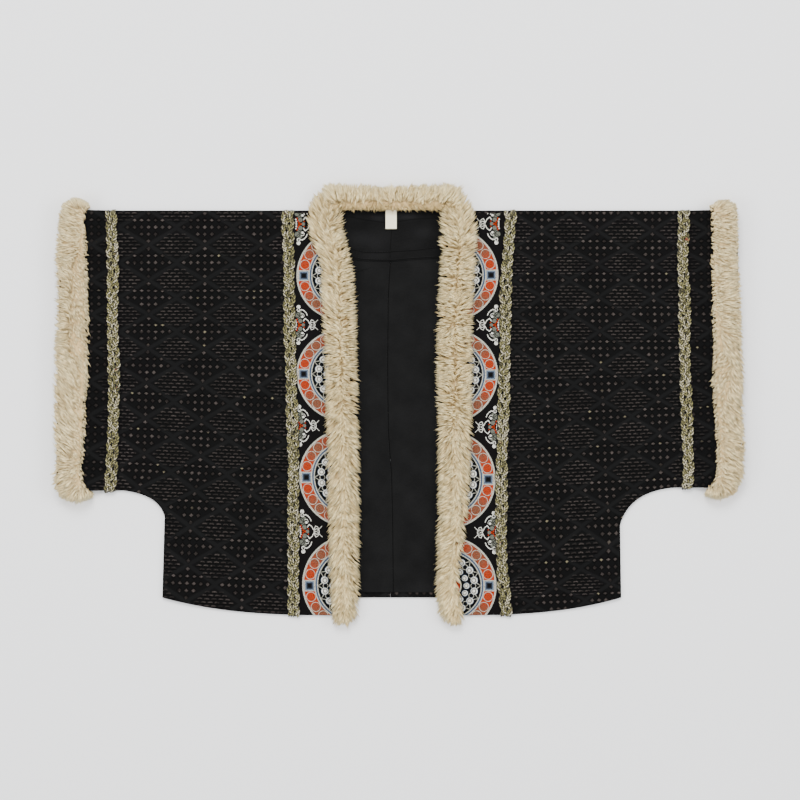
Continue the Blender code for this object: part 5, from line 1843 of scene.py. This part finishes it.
def grow_cuff(half, count):
    side = half.side
    rng = np.random.default_rng(21 if side < 0 else 22)
    high, low, flat, total = cuff_run(half)
    # Most tufts grow on the upper side, the others round the lower end, below and round the upper end
    zone = rng.choice(4, count, p=[0.7, 0.1, 0.1, 0.1])
    base = rng.uniform(0, 1, count)
    before = np.array([0.0, flat, flat + RING_ARC, 2 * flat + RING_ARC])
    s = before[zone] + base * np.array([flat, RING_ARC, flat, RING_ARC])[zone]
    y, z, out_y, out_z, depth = cuff_loop(half, s / total)
    at_end = np.abs(out_y)
    parting, slope_out, slope_in = read_rows(CUFF_COMBED[half.name], y)
    parting = np.where(zone == 0, parting, -0.44)
    lot = rng.uniform(0, 1, count)
    u = np.where(lot < 0.15, rng.uniform(-0.56, -0.42, count), rng.uniform(-0.48, 0.38, count))
    u = np.where(lot > 0.8, np.maximum(parting, -0.42) + np.abs(rng.normal(0, 0.11, count)), u)
    corner = 1 - at_end * 0.45 * ease(u / 0.45)
    level = depth * follow(CUFF_PROFILE, u) * corner * rng.uniform(0.34, 0.62, count)
    level *= np.where(u < -0.36, rng.uniform(0.3, 1.0, count), 1.0)
    yy = y + out_y * level
    inner, outer = pile_edges(half, np.clip(yy, low - 3.0, high + 3.0))
    inner = np.maximum(inner, pile_edges(half, low + 25.0)[0] - 11.0)
    out = inner + (u + 0.5) * (outer - inner)
    zz = z + out_z * level
    parting = np.maximum(parting, np.where(slope_in < 0.05, -0.42, -0.52))
    lean = np.clip((u - parting) * 9.0 + rng.normal(0, 0.25, count), -1.0, 1.0)
    lean = np.where(slope_in > -0.05, np.maximum(lean, 0.05), lean)
    outward = np.where(lean > 0, 1.0, -1.0)
    pull, tuft_tone = pull_to_tufts(rng, y + 12.0 * u, 7.0, 0.05)
    slope = np.where(lean > 0, slope_out, slope_in) + rng.normal(0, 0.17, count) + pull
    slope = slope + 0.2 * np.sin(y / 8.0 + 3.0 * u + side)
    rise = 0.7 - 0.9 * (u + 0.46) + rng.normal(0, 0.08, count)
    sway = np.where(zone == 0, slope, slope * 0.3)
    start = np.column_stack([lean, sway, out_z * np.clip(rise, 0.05, 1)])
    sink = np.where(out_z > 0.3, -0.22 * out_z, 0.0)
    end = np.column_stack([outward, sway * 0.9, out_z * np.clip(rise, 0.0, 1) * 0.3 + sink])
    # Near both ends of the sleeve the pile fans out
    nearness = (ease((low + 15.0 - yy) / 17.0), ease((yy - high + 13.0) / 15.0))
    beside = (yy > low + 2.0) & (yy < high - 3.6)
    for (fan_out, fan_y), near in zip(CUFF_FAN[half.name], nearness):
        away = unit(np.column_stack([out - fan_out, yy - fan_y])) + rng.normal(0, 0.14, (count, 2))
        away[:, 0] = np.where(beside, np.maximum(away[:, 0], 0.08), away[:, 0])
        for way in (start, end):
            way[:, :2] += (away * 1.2 - way[:, :2]) * near[:, None]
    start, end = unit(start), unit(end)
    lengths = rng.uniform(13.0, 22.0, count)
    lengths = np.where(beside & (u < -0.3), rng.uniform(8.0, 14.0, count), lengths)
    lengths = np.where((lean < 0) & (nearness[0] + nearness[1] < 0.5), rng.uniform(6.0, 13.0, count), lengths)
    # A lock is shortened until its tip is inside the outline
    rough = np.clip(-slope_in, 0, 1)
    ragged = rng.normal(np.where(lean > 0, -1.5, 0.6 + 2.0 * rough), 0.6 + 0.9 * rough)
    ragged += np.where(rng.uniform(0, 1, count) < 0.35, 2.8 * rough, 0)
    top_y, bottom_y = CUFF_PILE[half.name][0][0], CUFF_PILE[half.name][-1][0]
    for _ in range(9):
        tip_out, tip_y = tips(out, yy, lengths, start, end)
        inner, outer = pile_edges(half, tip_y)
        over = np.maximum.reduce([tip_out - outer, inner - tip_out, tip_y - top_y, bottom_y - tip_y])
        lengths = np.where(over > ragged, np.maximum(lengths * 0.86, SHORTEST), lengths)
    start[:, 0] *= side
    end[:, 0] *= side
    tone = 0.5 + 0.08 * tuft_tone + rng.normal(0, 0.15, count)
    roots = np.column_stack([side * out, yy, zz])
    return comb(f"pile_cuff_{half.name}", rng, roots, start, end, lengths, tone,
                lambda px, py: np.full_like(px, 0.1), 0.9)


def cuff_core(half):
    turns = np.linspace(0, 1, 96, endpoint=False)
    y, z, out_y, out_z, depth = cuff_loop(half, turns)
    inner, outer = pile_edges(half, np.clip(y, half.sleeve_low + 8.0, SHOULDER_Y - 6.0))
    wide = outer - inner
    path = np.column_stack([half.side * (inner + 0.42 * wide), y, z])
    up = np.column_stack([np.zeros(len(turns)), out_y, out_z])
    profiles = np.array([oval(w * 0.395, d * 0.48) + [0, 0.12] for w, d in zip(wide, depth)])
    across = straight(turns, 0) * half.side
    core_roll(f"fur_core_cuff_{half.name}", path, across, up, profiles, closed=True)


for half in HALVES:
    finished(grow_cuff(half, CUFF_TUFTS), fur_material, [f"fur_cuff_{half.name}"])
    cuff_core(half)
